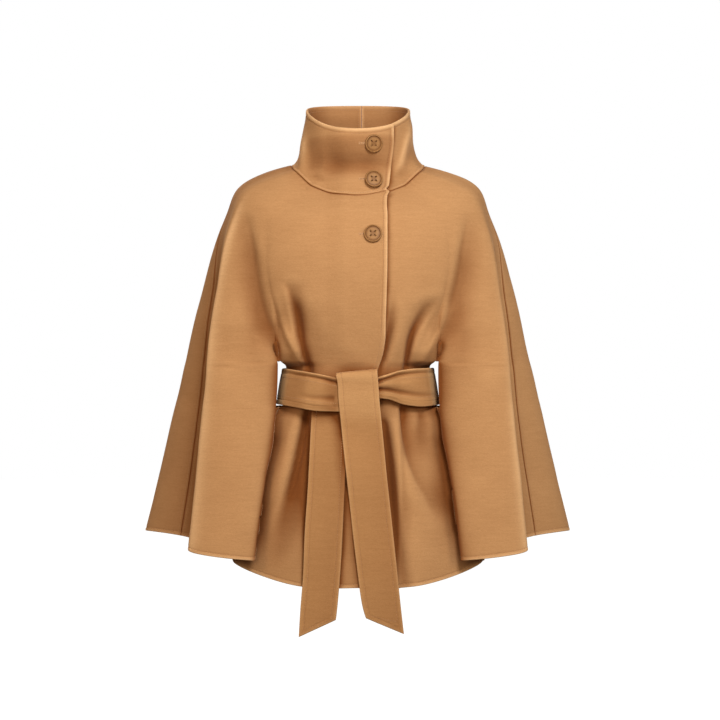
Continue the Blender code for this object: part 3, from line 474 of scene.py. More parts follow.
class Panel:
    """One cut piece of the cape as a fine grid, with its edges, stitching rows and thickness."""

    def __init__(self, sections, side_of_seam):
        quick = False
        plan = row_plan(quick)
        lines, marks = [], None
        for value, off in plan:
            value = value + off / {0: 1e6, 7: 44.0, 10: 44.0, 13: 88.0}.get(value, 1.0)
            row_lines, marks = [], [0]
            for start, end, first, last, count, _ in sections:
                part = spaced(start(value), end(value), value, first, last, max(3, count // 2) if quick else count, surface)
                row_lines = row_lines[:-1] + list(part)
                marks.append(len(row_lines) - 1)
            lines.append(row_lines)
        self.marks = marks
        self.lines = np.array(lines)
        base = np.array([v for v, _ in plan], float)[:, None]
        add = np.array([d for _, d in plan], float)[:, None]
        e = .02
        low, high = np.where(add <= 0, base - e, base), np.where(add > 0, base + e, base)
        low, high = np.where(base == 0, 0, low), np.where(base == 0, e, high)
        speed = np.linalg.norm(surface(self.lines, high) - surface(self.lines, low), axis=2) / (high - low)
        most = np.where((base == 7) | (base == 10), .26, 1.0)
        self.rows = np.clip(base + np.clip(add / speed, -most, most), 0, HEM_ROW)
        self.top = next(i for i, v in enumerate(plan) if v == (7, 0))
        self.end = next(i for i, v in enumerate(plan) if v == (10, 0))
        self.plain = surface(self.lines, self.rows)
        self.normal = grid_normal(self.plain)
        self.relief = relief(self.plain, self.lines, self.rows)
        # below the shoulders the cloth swells out level, so its rows stay in order, and straight ahead in the
        # narrow hollow between body and arm, so its lines do too
        ring = self.lines % N_RING
        hollow = smooth(ring, 1.2, 2.0) * (1 - smooth(ring, 3.3, 4.0)) + smooth(ring, 22.0, 22.7) * (1 - smooth(ring, 24.0, 24.8))
        hollow = hollow * smooth(self.rows, 3.5, 5.0) * (1 - smooth(self.rows, 7.0, 7.6))
        away = self.normal * np.stack([1 - hollow, np.ones_like(self.rows), 1 - smooth(self.rows, 4.6, 6.2)], axis=2)
        away = away / np.linalg.norm(away, axis=2, keepdims=True)
        self.p = self.plain + away * np.where(self.relief < 0, .85, 1)[..., None] * self.relief[..., None]

    def finish(self, name, slits, free_edges, seam_edges, stitches, lift=None):
        """slits: pairs of column indices; free_edges and seam_edges: column indices or 'neck'/'hem'."""
        n = grid_normal(self.p)
        if lift is not None:
            self.p = self.p + n * lift[..., None]
            n = grid_normal(self.p)
        across, along = run_lengths(self.p, 1), run_lengths(self.p, 0)

        def away(edge):
            if edge == "neck":
                return along - along[:1]
            if edge == "hem":
                return along[-1:] - along
            return np.abs(across - across[:, [edge]])

        free = np.full(self.p.shape[:2], 1e3)
        for edge in free_edges:
            free = np.minimum(free, away(edge))
        seam = np.full(self.p.shape[:2], 1e3)
        for edge in seam_edges:
            seam = np.minimum(seam, away(edge))
        keep = np.ones((self.p.shape[0] - 1, self.p.shape[1] - 1), bool)
        row_index = np.arange(self.p.shape[0])[:, None]
        free_no_slits = free.copy()
        for a, b in slits:
            col = np.arange(self.p.shape[1])[None, :]
            side_away = np.where(col <= a, across[:, [a]] - across, np.where(col >= b, across - across[:, [b]], 0))
            end_away = np.where(row_index < self.top, along[[self.top]] - along,
                                np.where(row_index > self.end, along - along[[self.end]], 0))
            free = np.minimum(free, np.sqrt(side_away**2 + end_away**2))
            keep[self.top:self.end, a:b] = False
        half = np.minimum(half_thickness(free, CLOTH, 1.5), half_thickness(seam, CLOTH, 1.4))
        groove = np.zeros(self.p.shape[:2])
        for edge, distance in stitches:
            d = away(edge)
            groove += .5 * np.exp(-((d - distance) / 1.0) ** 2) - .12 * smooth(d, 1.2, 3.2) * (1 - smooth(d, distance - 2.2, distance - .9))
        middle = self.p - n * CLOTH / 2
        self.outer = middle + n * (half - np.where(half > .7 * CLOTH / 2, groove, 0))[..., None]
        self.inner = middle - n * half[..., None]
        self.n, self.away = n, away
        shut = half <= 1e-9
        # painted highlight along the hem and front edges, fading within a few mm
        edge_highlight = np.exp(-(np.maximum(np.minimum(free_no_slits, 40) - .6, 0) / 3.0) ** 2)
        x, z = self.plain[..., 0], self.plain[..., 2]
        ahead = np.maximum(1 - smooth(self.lines % N_RING, 2.0, 2.8), smooth(self.lines % N_RING, 23.2, 24.0))
        shade = ahead * sum(m * np.exp(-((x - sx) / w) ** 2 - ((z - sz) / h) ** 2) for sx, sz, m, w, h in zip(*BODY_SHADE.values()))
        arms = (self.lines % N_RING < 3.9) | (self.lines % N_RING > 22.1)
        shade = shade + arms * sum(m * np.exp(-((x - sx) / w) ** 2 - ((z - sz) / h) ** 2) for sx, sz, m, w, h in zip(*ARM_SHADE.values()))
        # painted shade along the wings' inner edges below the slits and behind the wings' folds, and a painted
        # highlight down the sharp fold at the front of each arm
        ring = self.lines % N_RING
        below = smooth(self.rows, 6.5, 7.6)
        wing_edge_shade = (.95 * np.exp(-(np.maximum(23 - ring, 0) / (.085 + .02 * self.rows / 13)) ** 2) * (ring > 21) * (ring < 23.2)
                  + 1.05 * np.exp(-(np.maximum(ring - 3, 0) / (.13 + .05 * self.rows / 13)) ** 2) * (ring > 2.8) * (ring < 5)) * below
        behind_wing = .2 * np.exp(-((ring - 5.2) / .5) ** 2) + .58 * np.exp(-((ring - 20.3) / .9) ** 2)
        arm_fold_highlight = sum(np.exp(-((ring - at) / np.where(ring < 13, .11, .15)) ** 2) for at in (4.0, 22.0))
        arm_fold_highlight = arm_fold_highlight * np.where(ring < 13, .35 * smooth(self.rows, 3, 6) + .65 * smooth(self.rows, 7, 11), smooth(self.rows, 1.5, 4.0))
        # edge: painted highlight; deep: painted shade in the seams, creases, along the wings' inner edges, behind the
        # wings, in the shaded places listed above, and over the whole inside face
        fields = {"crest": crest_of(self.p, n), "edge": np.maximum(edge_highlight, np.where(ring < 13, .8, 1.0) * arm_fold_highlight),
                  "deep": (.5 * np.exp(-(seam / 1.3) ** 2) * (.35 + .65 * smooth(free_no_slits, 3, 14)) + wing_edge_shade + np.clip((-self.relief - 1.5) / 11, 0, 1) + behind_wing + shade, .5 + 0 * self.relief)}
        self.obj = cloth_mesh(name, self.outer, self.inner, shut, keep, fields=fields)
        self.obj["relief_checked"] = True
        return self

    def stitch_path(self, edge, distance, start=0, stop=None):
        """Points and normals of a row of stitches at this distance from an edge."""
        d = self.away(edge)
        if edge in ("neck", "hem"):
            i = int(np.abs(d[:, d.shape[1] // 2] - distance).argmin())
            return self.outer[i, start:stop], self.n[i, start:stop]
        j = int(np.abs(d[d.shape[0] // 2] - distance).argmin())
        return self.outer[start:stop, j], self.n[start:stop, j]


# ------------------------------------------------------------------ wool
def node(tree, kind, **values):
    made = tree.nodes.new(kind)
    for key, value in values.items():
        if key.startswith("in_"):
            made.inputs[int(key[3:]) if key[3:].isdigit() else key[3:].replace("_", " ")].default_value = value
        else:
            setattr(made, key, value)
    return made


def math_node(tree, operation, a, b=None, clamp=False):
    made = tree.nodes.new("ShaderNodeMath")
    made.operation, made.use_clamp = operation, clamp
    for socket, value in zip(made.inputs, (a, b)):
        if value is None:
            continue
        if isinstance(value, (int, float)):
            socket.default_value = value
        else:
            tree.links.new(value, socket)
    return made.outputs[0]


def noise_at(tree, coordinates, scale, stretch=(1, 1, 1), detail=3.0, rough=.55):
    mapping = tree.nodes.new("ShaderNodeMapping")
    mapping.inputs["Scale"].default_value = stretch
    tree.links.new(coordinates, mapping.inputs["Vector"])
    made = tree.nodes.new("ShaderNodeTexNoise")
    made.inputs["Scale"].default_value = scale
    made.inputs["Detail"].default_value = detail
    made.inputs["Roughness"].default_value = rough
    tree.links.new(mapping.outputs[0], made.inputs["Vector"])
    return made.outputs["Fac"]


# colour of the painted shade in folds and hollows
PAINTED_FOLD_SHADE = (.44, .27, .16)


def wool(name, colour, spread=.15):
    """Brushed camel wool: a soft nap with faint cross streaks, with painted highlight on edges, sharp folds and ridges
    and painted shade in creases and hollows.
    """
    material = bpy.data.materials.new(name)
    material.use_nodes = True
    tree = material.node_tree
    shader = tree.nodes["Principled BSDF"]
    at = tree.nodes.new("ShaderNodeTexCoord").outputs["Object"]
    cloud = noise_at(tree, at, 9.0, detail=2.0)
    streak = noise_at(tree, at, 30.0, (1, 1, 9), detail=4.0, rough=.65)
    thread = noise_at(tree, at, 230.0, (1, 1, 2.4), detail=3.0, rough=.7)
    nap = noise_at(tree, at, 900.0, (1, 1, 1.6), detail=2.0, rough=.7)
    crest = tree.nodes.new("ShaderNodeAttribute")
    crest.attribute_name = "crest"
    openness = tree.nodes.new("ShaderNodeAttribute")
    openness.attribute_name = "open"
    sunk = tree.nodes.new("ShaderNodeAttribute")
    sunk.attribute_name = "deep"
    edge = tree.nodes.new("ShaderNodeAttribute")
    edge.attribute_name = "edge"
    total = 0.5
    # crest paints highlight on ridges and shade in creases into the tone
    for source, mid, amount in ((cloud, .5, .5), (streak, .5, .66), (thread, .5, .85), (nap, .5, .95),
                                (crest.outputs["Fac"], 0, .22)):
        total = math_node(tree, "ADD", math_node(tree, "MULTIPLY", math_node(tree, "SUBTRACT", source, mid), amount), total)
    value = math_node(tree, "ADD", total, 0.0, clamp=True)
    mix = tree.nodes.new("ShaderNodeMix")
    mix.data_type = "RGBA"
    dark = tuple(c * (1 - spread * (1 + .25 * i)) for i, c in enumerate(colour))
    light = tuple(min(1, c * (1 + spread * (1 + .25 * i))) for i, c in enumerate(colour))
    mix.inputs["A"].default_value = (*dark, 1)
    mix.inputs["B"].default_value = (*light, 1)
    tree.links.new(value, mix.inputs["Factor"])
    # painted highlight: lighter along the edges and sharp folds that the edge attribute marks
    painted_light = tree.nodes.new("ShaderNodeMix")
    painted_light.data_type, painted_light.blend_type = "RGBA", "MULTIPLY"
    painted_light.inputs["B"].default_value = (1.5, 1.7, 1.95, 1)
    tree.links.new(math_node(tree, "ADD", edge.outputs["Fac"], 0.0, clamp=True), painted_light.inputs["Factor"])
    tree.links.new(mix.outputs["Result"], painted_light.inputs["A"])
    # painted shade: cloth deep in a fold sees mostly cloth, so where the deep attribute is high or the open attribute
    # is low the colour is painted darker and warmer
    deep = tree.nodes.new("ShaderNodeMix")
    deep.data_type, deep.blend_type = "RGBA", "MULTIPLY"
    deep.inputs["B"].default_value = (*PAINTED_FOLD_SHADE, 1)
    closed = math_node(tree, "SUBTRACT", 1.0, openness.outputs["Fac"], clamp=True)
    tree.links.new(math_node(tree, "ADD", math_node(tree, "MULTIPLY", sunk.outputs["Fac"], .8), closed, clamp=True), deep.inputs["Factor"])
    tree.links.new(painted_light.outputs["Result"], deep.inputs["A"])
    tree.links.new(deep.outputs["Result"], shader.inputs["Base Color"])
    height = math_node(tree, "ADD", math_node(tree, "MULTIPLY", nap, .55), math_node(tree, "MULTIPLY", thread, .9))
    bump = tree.nodes.new("ShaderNodeBump")
    bump.inputs["Strength"].default_value = .55
    bump.inputs["Distance"].default_value = .0007
    tree.links.new(height, bump.inputs["Height"])
    tree.links.new(bump.outputs[0], shader.inputs["Normal"])
    shader.inputs["Roughness"].default_value = .95
    shader.inputs["Specular IOR Level"].default_value = .06
    shader.inputs["Sheen Weight"].default_value = .38
    shader.inputs["Sheen Roughness"].default_value = .38
    shader.inputs["Sheen Tint"].default_value = (1.0, .66, .40, 1)
    return material


def thread_material(name, colour):
    material = bpy.data.materials.new(name)
    material.use_nodes = True
    tree = material.node_tree
    shader = tree.nodes["Principled BSDF"]
    at = tree.nodes.new("ShaderNodeTexCoord").outputs["Object"]
    twist = noise_at(tree, at, 1500.0, (1, 1, 2), detail=2.0)
    mix = tree.nodes.new("ShaderNodeMix")
    mix.data_type = "RGBA"
    mix.inputs["A"].default_value = (*[c * .8 for c in colour], 1)
    mix.inputs["B"].default_value = (*[c * 1.2 for c in colour], 1)
    tree.links.new(twist, mix.inputs["Factor"])
    tree.links.new(mix.outputs["Result"], shader.inputs["Base Color"])
    bump = tree.nodes.new("ShaderNodeBump")
    bump.inputs["Strength"].default_value = .4
    bump.inputs["Distance"].default_value = .0002
    tree.links.new(twist, bump.inputs["Height"])
    tree.links.new(bump.outputs[0], shader.inputs["Normal"])
    shader.inputs["Roughness"].default_value = .7
    shader.inputs["Sheen Weight"].default_value = .15
    return material


CAMEL = (.525, .279, .121)
WOOL = wool("wool", CAMEL)
# the belt and its tails wear the cape's wool with its colour painted darker: painted shade
BELT_WOOL_SHADED = wool("wool_belt_shaded", (.47, .24, .096))
THREAD = thread_material("thread", (.43, .215, .088))
HOLE_THREAD = thread_material("buttonhole_thread", (.60, .33, .145))

PIECES = []


def put_on(obj, material, replaces=None):
    obj.data.materials.append(material)
    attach(obj, "root")
    if replaces:
        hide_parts(replaces)
    PIECES.append(obj)
    return obj


# ------------------------------------------------------------------ stitches
def capsule(length, radius, sides=6, dip=.35):
    """A stitch: points and faces, along x, standing up z, its ends dipping into the cloth."""
    points, faces = [], []
    for u, r in ((-.5, .35), (-.36, 1), (0, 1.08), (.36, 1), (.5, .35)):
        for k in range(sides):
            a = 2 * math.pi * k / sides
            points.append((u * length, r * radius * math.cos(a), r * radius * .8 * math.sin(a) - dip * (2 * abs(u)) ** 2))
    for i in range(4):
        for k in range(sides):
            a, b = i * sides + k, i * sides + (k + 1) % sides
            faces.append((a, b, b + sides, a + sides))
    faces.append(tuple(range(sides))[::-1])
    faces.append(tuple(4 * sides + k for k in range(sides)))
    return np.array(points), faces


def scatter(name, template, frames, material):
    """One joined mesh of a template at each frame (point, along, normal), mm."""
    points, faces = template
    at = np.array([f[0] for f in frames], float)
    x = np.array([f[1] for f in frames], float)
    n = np.array([f[2] for f in frames], float)
    x = x / np.linalg.norm(x, axis=1, keepdims=True)
    y = np.cross(n, x)
    y = y / np.linalg.norm(y, axis=1, keepdims=True)
    z = np.cross(x, y)
    verts = (at[:, None] + points[None, :, :1] * x[:, None] + points[None, :, 1:2] * y[:, None] + points[None, :, 2:] * z[:, None])
    count = len(points)
    all_faces = [tuple(v + i * count for v in f) for i in range(len(frames)) for f in faces]
    mesh = bpy.data.meshes.new(name)
    mesh.from_pydata((verts.reshape(-1, 3) / 1000).tolist(), [], all_faces)
    mesh.shade_smooth()
    obj = bpy.data.objects.new(name, mesh)
    SCENE.collection.objects.link(obj)
    return put_on(obj, material)


def along_path(points, normals, pitch, raise_by=.05):
    """Frames evenly spaced along a path."""
    step = np.linalg.norm(np.diff(points, axis=0), axis=1)
    s = np.concatenate([[0], np.cumsum(step)])
    at = np.arange(pitch / 2, s[-1] - pitch / 4, pitch)
    p = np.stack([np.interp(at, s, points[:, i]) for i in range(3)], axis=1)
    ahead = np.stack([np.interp(at + .8, s, points[:, i]) - np.interp(at - .8, s, points[:, i]) for i in range(3)], axis=1)
    n = np.stack([np.interp(at, s, normals[:, i]) for i in range(3)], axis=1)
    n = n / np.linalg.norm(n, axis=1, keepdims=True)
    return [(p[i] + n[i] * raise_by, ahead[i], n[i]) for i in range(len(at))]


STITCH = capsule(3.3, .42)
PITCH = 4.1
frames_of = {}


def stitch_row(slot, points, normals, pitch=PITCH):
    frames_of.setdefault(slot, []).extend(along_path(points, normals, pitch))


# ------------------------------------------------------------------ fronts and back
def front_panel(name, side):
    seam = lambda row: -float(np.interp(row, SEAM_ROWS, SEAM_FRONT))
    if side < 0:
        edge = lambda row: front_edge_line(side, row)
        sections = [
            (seam, lambda r: -3.0, [0, .12, .45, .9, 1.6, 2.8] + [SEAM_STITCH + d for d in STITCH_RUN[2:]], FREE + [3], 84, None),
            (lambda r: -3.0, lambda r: -2.0, [0], [0], 13, None),
            (lambda r: -2.0, edge, FREE + [3], with_stitch(EDGE_STITCH), 84, None),
        ]
    else:
        seam_left = lambda row: float(np.interp(row, SEAM_ROWS, SEAM_FRONT))
        edge = lambda row: front_edge_line(side, row)
        sections = [
            (edge, lambda r: 2.0, FREE + [3], FREE + [3], 66, None),
            (lambda r: 2.0, lambda r: 3.0, [0], [0], 13, None),
            (lambda r: 3.0, seam_left, FREE + [3], [0, .12, .45, .9, 1.6, 2.8] + [SEAM_STITCH + d for d in STITCH_RUN[2:]], 84, None),
        ]
    panel = Panel(sections, side)
    a, b, c, d = panel.marks[0], panel.marks[1], panel.marks[2], panel.marks[3]
    if side < 0:
        rows = panel.rows
        step = OVERLAP + (COLLAR_OVERLAP - OVERLAP) * (1 - smooth(rows, 0, 1))
        lift = step * smooth(panel.p[..., 0], -52, -16)
        panel.finish(name, [(b, c)], [d, "hem"], [a, "neck"], [(d, EDGE_STITCH), (a, SEAM_STITCH), ("hem", HEM_STITCH)], lift)
        stitch_row(name, *panel.stitch_path(d, EDGE_STITCH, 4, -8))
        stitch_row(name, *panel.stitch_path(a, SEAM_STITCH, 4, -8))
    else:
        panel.finish(name, [(b, c)], [a, "hem"], [d, "neck"], [(d, SEAM_STITCH), ("hem", HEM_STITCH)])
        stitch_row(name, *panel.stitch_path(d, SEAM_STITCH, 4, -8))
    stitch_row(name, *panel.stitch_path("hem", HEM_STITCH, 6, -6))
    return panel


def back_panel(name):
    seam = lambda row: float(np.interp(row, SEAM_ROWS, SEAM_BACK))
    near_seam = [0, .12, .45, .9, 1.6, 2.8] + [SEAM_STITCH + d for d in STITCH_RUN[2:]]
    sections = [
        (seam, lambda r: 10.0, near_seam, FREE + [3], 70, None),
        (lambda r: 10.0, lambda r: 11.0, [0], [0], 13, None),
        (lambda r: 11.0, lambda r: 15.0, FREE + [3], FREE + [3], 70, None),
        (lambda r: 15.0, lambda r: 16.0, [0], [0], 13, None),
        (lambda r: 16.0, lambda r: 26 - seam(r), FREE + [3], near_seam, 70, None),
    ]
    panel = Panel(sections, 0)
    m = panel.marks
    panel.finish(name, [(m[1], m[2]), (m[3], m[4])], ["hem"], [m[0], m[5], "neck"],
                 [(m[0], SEAM_STITCH), (m[5], SEAM_STITCH), ("hem", HEM_STITCH)])
    stitch_row(name, *panel.stitch_path(m[0], SEAM_STITCH, 4, -8))
    stitch_row(name, *panel.stitch_path(m[5], SEAM_STITCH, 4, -8))
    stitch_row(name, *panel.stitch_path("hem", HEM_STITCH, 6, -6))
    return panel


RIGHT = front_panel("cape_right_front", -1)
LEFT = front_panel("cape_left_front", +1)
BACK_PANEL = back_panel("cape_back")
put_on(RIGHT.obj, WOOL, "right_front")
put_on(LEFT.obj, WOOL, "left_front")
put_on(BACK_PANEL.obj, WOOL, "back")

# ------------------------------------------------------------------ collar
COLLAR = {"half_width": 88.5, "front_y": -92, "back_y": 65, "front_z": 62, "side_z": 105, "back_z": 121.5}
COLLAR_SEAM_X = 8.0
COLLAR_EDGE = table("t x", [[0, 49.6], [.2, 51.2], [.45, 54.4], [.75, 57.6], [1, 58.5]])
COLLAR_FOLDS = [
    # upright pulls of the funnel: x, z, out, spread left and right
    [[-92, 98, 0, 7, 9], [-90, 66, 3.0, 8, 8], [-91, 34, 5.2, 8, 8], [-96, 2, 3.4, 9, 9], [-100, -20, 0, 9, 10]],
    [[88, 96, 0, 8, 8], [85, 70, 4.0, 6, 8], [76.5, 36, 5.6, 5.5, 9], [68, 4, 4.6, 6, 11], [61, -18, 0, 8, 12]],
    [[95, 60, 0, 8, 12], [90, 26, -2.4, 9, 14], [92, -4, 0, 10, 14]],
]
# The funnel is pressed in across its front, where it bends over the wearer's chin: one long dent and smaller ones.
COLLAR_DENTS = table("x z out wide high lean", [
    [-34, 3, -12.5, 40, 19, -.06], [20, 3, -9.5, 26, 17, -.05], [-72, 12, -.8, 14, 22, 0], [-70, -18, -3.5, 16, 8, -.35],
    [-24, 46, 3.5, 44, 15, 0],
])
COLLAR_BACK_FOLDS = [
    [[-52, 96, 0, 26, 22], [-46, 60, -1.8, 26, 20], [-50, 30, 0, 24, 20]],
    [[46, 90, 0, 20, 24], [40, 56, -1.6, 22, 28], [44, 26, 0, 22, 24]],
    [[-10, 100, 0, 18, 18], [-8, 64, 1.0, 20, 20], [-8, 34, 0, 20, 20]],
]


def collar_surface(lines, t):
    """Outer face of the collar: lines of the neck ring, t 0 at the neck seam and 1 at the rim."""
    c = COLLAR
    lines, t = np.broadcast_arrays(np.asarray(lines, float), np.asarray(t, float))
    foot = surface(lines, 0 * lines)
    up = foot - surface(lines, 0 * lines + .06)
    up = up / np.linalg.norm(up, axis=-1, keepdims=True)
    foot = foot + up * SEAM_GAP
    depth = np.where(foot[..., 1] < 0, -c["front_y"], c["back_y"])
    a, b = foot[..., 0] / 113.5, foot[..., 1] / np.where(foot[..., 1] < 0, 92.0, 75.0)
    r = (np.abs(a) ** 2.25 + np.abs(b) ** 2.25) ** (1 / 2.25)
    x, y = a / r * c["half_width"], b / r * depth
    share = np.abs(y) / depth
    z = np.where(y < 0, c["side_z"] + (c["front_z"] - c["side_z"]) * share ** 1.4,
                 c["side_z"] + (c["back_z"] - c["side_z"]) * share ** 0.8)
    rim = np.stack([x, y, z], axis=-1)
    leave = up * 62
    arrive = np.stack([-.05 * x, -.02 * y, 0 * x + 88], axis=-1)
    t = t[..., None]
    return ((2 * t**3 - 3 * t**2 + 1) * foot + (t**3 - 2 * t**2 + t) * leave
            + (3 * t**2 - 2 * t**3) * rim + (t**3 - t**2) * arrive)


def collar_line_at_x(x, t):
    lines = np.linspace(-1.8, 1.8, 145)
    return float(np.interp(x, collar_surface(lines, t)[:, 0], lines))


def collar_half(name, side):
    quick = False
    seam = float(np.interp(COLLAR_SEAM_X, [0, 48], [13, 12]))
    e = .01
    speed = np.linalg.norm(collar_surface(seam + e, .5) - collar_surface(seam - e, .5)) / (2 * e)
    gap = SEAM_GAP / 2 / speed
    plan = ([(0, d) for d in (0, .12, .45, 1.0, 2.0, 3.4)] + [(0, 5.2 + d) for d in (-.9, 0, .9)]
            + [(v, 0) for v in np.linspace(.13, .83, 14 if quick else 28)]
            + [(1, -d) for d in with_stitch(EDGE_STITCH)[::-1]])
    lines = []
    for value, _ in plan:
        if side < 0:
            edge = collar_line_at_x(float(ease(value, COLLAR_EDGE["t"], COLLAR_EDGE["x"])), value)
            first, last = -(26 - (seam + gap)), edge
            row = spaced(first, last, value, [0, .12, .45, .9, 1.6, 2.8, 4.4, 5.2, 6], with_stitch(EDGE_STITCH), 60 if quick else 110,
                         collar_surface)
        else:
            edge = collar_line_at_x(UNDER_EDGE_X, value)
            row = spaced(edge, seam - gap, value, FREE, [0, .12, .45, .9, 1.6, 2.8, 4.4, 5.2, 6], 60 if quick else 110, collar_surface)
        lines.append(row)
    lines = np.array(lines)
    base = np.array([v for v, _ in plan], float)[:, None]
    add = np.array([d for _, d in plan], float)[:, None]
    low, high = np.clip(base - e, 0, 1), np.clip(base + e, 0, 1)
    speed = np.linalg.norm(collar_surface(lines, high) - collar_surface(lines, low), axis=2) / (high - low)
    rows = np.clip(base + add / speed, 0, 1)
    p = collar_surface(lines, rows)[::-1]          # top row first, so normals point out
    lines, rows = lines[::-1], rows[::-1]
    n = grid_normal(p)
    facing = smooth(-p[..., 1], -10, 15)
    swell = (facing * fold_field(COLLAR_FOLDS, p[..., 0], p[..., 2])
             + (1 - facing) * fold_field(COLLAR_BACK_FOLDS, p[..., 0], p[..., 2]))
    for k in range(len(COLLAR_DENTS["x"])):
        dx, dz = p[..., 0] - COLLAR_DENTS["x"][k], p[..., 2] - COLLAR_DENTS["z"][k]
        dz = dz - COLLAR_DENTS["lean"][k] * dx
        swell = swell + facing * COLLAR_DENTS["out"][k] * np.exp(-(dx / COLLAR_DENTS["wide"][k]) ** 2 - (dz / COLLAR_DENTS["high"][k]) ** 2)
    swell = swell * smooth(rows, .02, .3)
    # the upper half of the front leans out over the dent, in its own shade
    shade = facing * smooth(p[..., 2], -14, 6) * (1 - smooth(p[..., 2], 46, 56)) * smooth(p[..., 0], -88, -76) * (side < 0)
    # painted shade in the dents and over the shaded upper front; painted highlight on the ridges out at the sides
    deep = np.maximum(np.clip(-swell / 17, 0, .75), .5 * shade)
    ridge_highlight = np.where(p[..., 0] > 0, .42, 1.0) * np.clip(swell / 4.6, 0, 1) ** 3 * facing * (np.abs(p[..., 0]) > 52)
    swell = swell + ripple(p, 34, 2.2) * .4 * smooth(rows, 0, .2)
    if side < 0:
        swell = swell + COLLAR_OVERLAP * smooth(p[..., 0], -52, -16) * (p[..., 1] < 0)
    else:
        swell = np.where((p[..., 0] < 58) & (p[..., 1] < 0), np.minimum(swell, 0), swell)
    p = p + n * swell[..., None]
    n = grid_normal(p)
    across, along = run_lengths(p, 1), run_lengths(p, 0)
    rim, neck = along, along[-1:] - along
    centre_back, edge_away = (across, across[:, -1:] - across) if side < 0 else (across[:, -1:] - across, across)
    # the corner of the right collar is turned a little round
    free = np.minimum(rim, edge_away)
    near = (rim < 7) & (edge_away < 7) & (side < 0)
    corner = 7 - np.sqrt((7 - rim) ** 2 + (7 - edge_away) ** 2)
    half = np.minimum(half_thickness(free, COLLAR_CLOTH, 1.9), half_thickness(np.minimum(neck, centre_back), COLLAR_CLOTH, 1.4))
    sewn = np.minimum(neck, centre_back)
    # painted shade in the seam gaps at the neck and centre back, a painted highlight on the raised band beside them,
    # and painted shade along the topstitching
    deep = deep + .75 * np.exp(-(sewn / 1.3) ** 2) * (.3 + .7 * smooth(free, 3, 14))
    band = .3 * np.exp(-((sewn - 3.2) / 1.8) ** 2)
    deep = deep + .3 * np.exp(-((free - 8.2) / 1.7) ** 2)
    if side < 0:
        # pull the corner's points in so the outline rounds off
        pull = np.clip(-corner, 0, 3)
        toward = p[12, -13] - p
        toward = toward / np.maximum(np.linalg.norm(toward, axis=2, keepdims=True), 1e-6)
        p = p + toward * np.where(near, pull, 0)[..., None]
    groove = np.zeros(p.shape[:2])
    rows_of_stitch = [(rim, EDGE_STITCH), (neck, 5.2), (centre_back, 5.2)] + ([(edge_away, EDGE_STITCH)] if side < 0 else [])
    for d, distance in rows_of_stitch:
        groove += .55 * np.exp(-((d - distance) / 1.0) ** 2) - .14 * smooth(d, 1.4, 3.4) * (1 - smooth(d, distance - 2.2, distance - .9))
    middle = p - n * COLLAR_CLOTH / 2
    outer = middle + n * (half - np.where(half > 1.4, groove, 0))[..., None]
    inner = middle - n * half[..., None]
    # edge: painted highlight on the free edges, the raised seam band and the ridges, and inside at the rim and centre
    # back; deep: painted shade, inside too, lighter at the centre back
    fields = {"crest": crest_of(p, n), "edge": (np.maximum(np.maximum(np.exp(-(np.maximum(free - 2.6, 0) / 3.0) ** 2), ridge_highlight), band),
                       np.maximum(np.exp(-(rim / 3.2) ** 2), .95 * np.exp(-(centre_back / 3.0) ** 2))),
              "deep": (deep, (.36 + .2 * smooth(rim, 9, 30) + .5 * smooth(np.abs(p[..., 0]), 40, 88)) * (1 - .8 * np.exp(-(centre_back / 3.0) ** 2)))}
    obj = cloth_mesh(name, outer, inner, half <= 1e-9, fields=fields)
    slot = name.replace("cape_", "")
    i = int(np.abs(rim[:, rim.shape[1] // 2] - EDGE_STITCH).argmin())
    stitch_row(name, outer[i, 6:-8] if side < 0 else outer[i, 4:-6], n[i, 6:-8] if side < 0 else n[i, 4:-6])
    i = int(np.abs(neck[:, neck.shape[1] // 2] - 5.2).argmin())
    stitch_row(name, outer[i, 6:-4], n[i, 6:-4])
    j = int(np.abs(centre_back[centre_back.shape[0] // 2] - 5.2).argmin())
    stitch_row(name, outer[6:-4, j], n[6:-4, j])
    i = int(np.abs(rim[:, rim.shape[1] // 2] - EDGE_STITCH).argmin())
    stitch_row(name, inner[i, 6:-8], -n[i, 6:-8])
    j = int(np.abs(centre_back[centre_back.shape[0] // 2] - 5.2).argmin())
    stitch_row(name, inner[6:-4, j], -n[6:-4, j])
    if side < 0:
        j = int(np.abs(edge_away[edge_away.shape[0] // 2] - EDGE_STITCH).argmin())
        stitch_row(name, outer[13:-3, j], n[13:-3, j])
    put_on(obj, WOOL, slot)
    return obj, p, n


COLLAR_RIGHT, *_ = collar_half("cape_collar_right", -1)
COLLAR_LEFT, *_ = collar_half("cape_collar_left", +1)

# ------------------------------------------------------------------ belt
BELT = {"half_width": 124.5, "front": 111.0, "back": 102.0, "bulge": 10.0, "corner": 3.0, "flare": 10.0}
BELT_EDGE = table("x top bottom", [
    [-124, -333.5, -393.5], [-90, -337, -398], [-60, -342, -403], [-30, -348, -404], [-8, -349, -398],
    [25, -349, -382], [45, -344, -384], [68, -336, -393], [95, -333, -396.5], [124, -332.5, -394.5],
])
BELT_BACK_EDGE = (-333.0, -393.5)
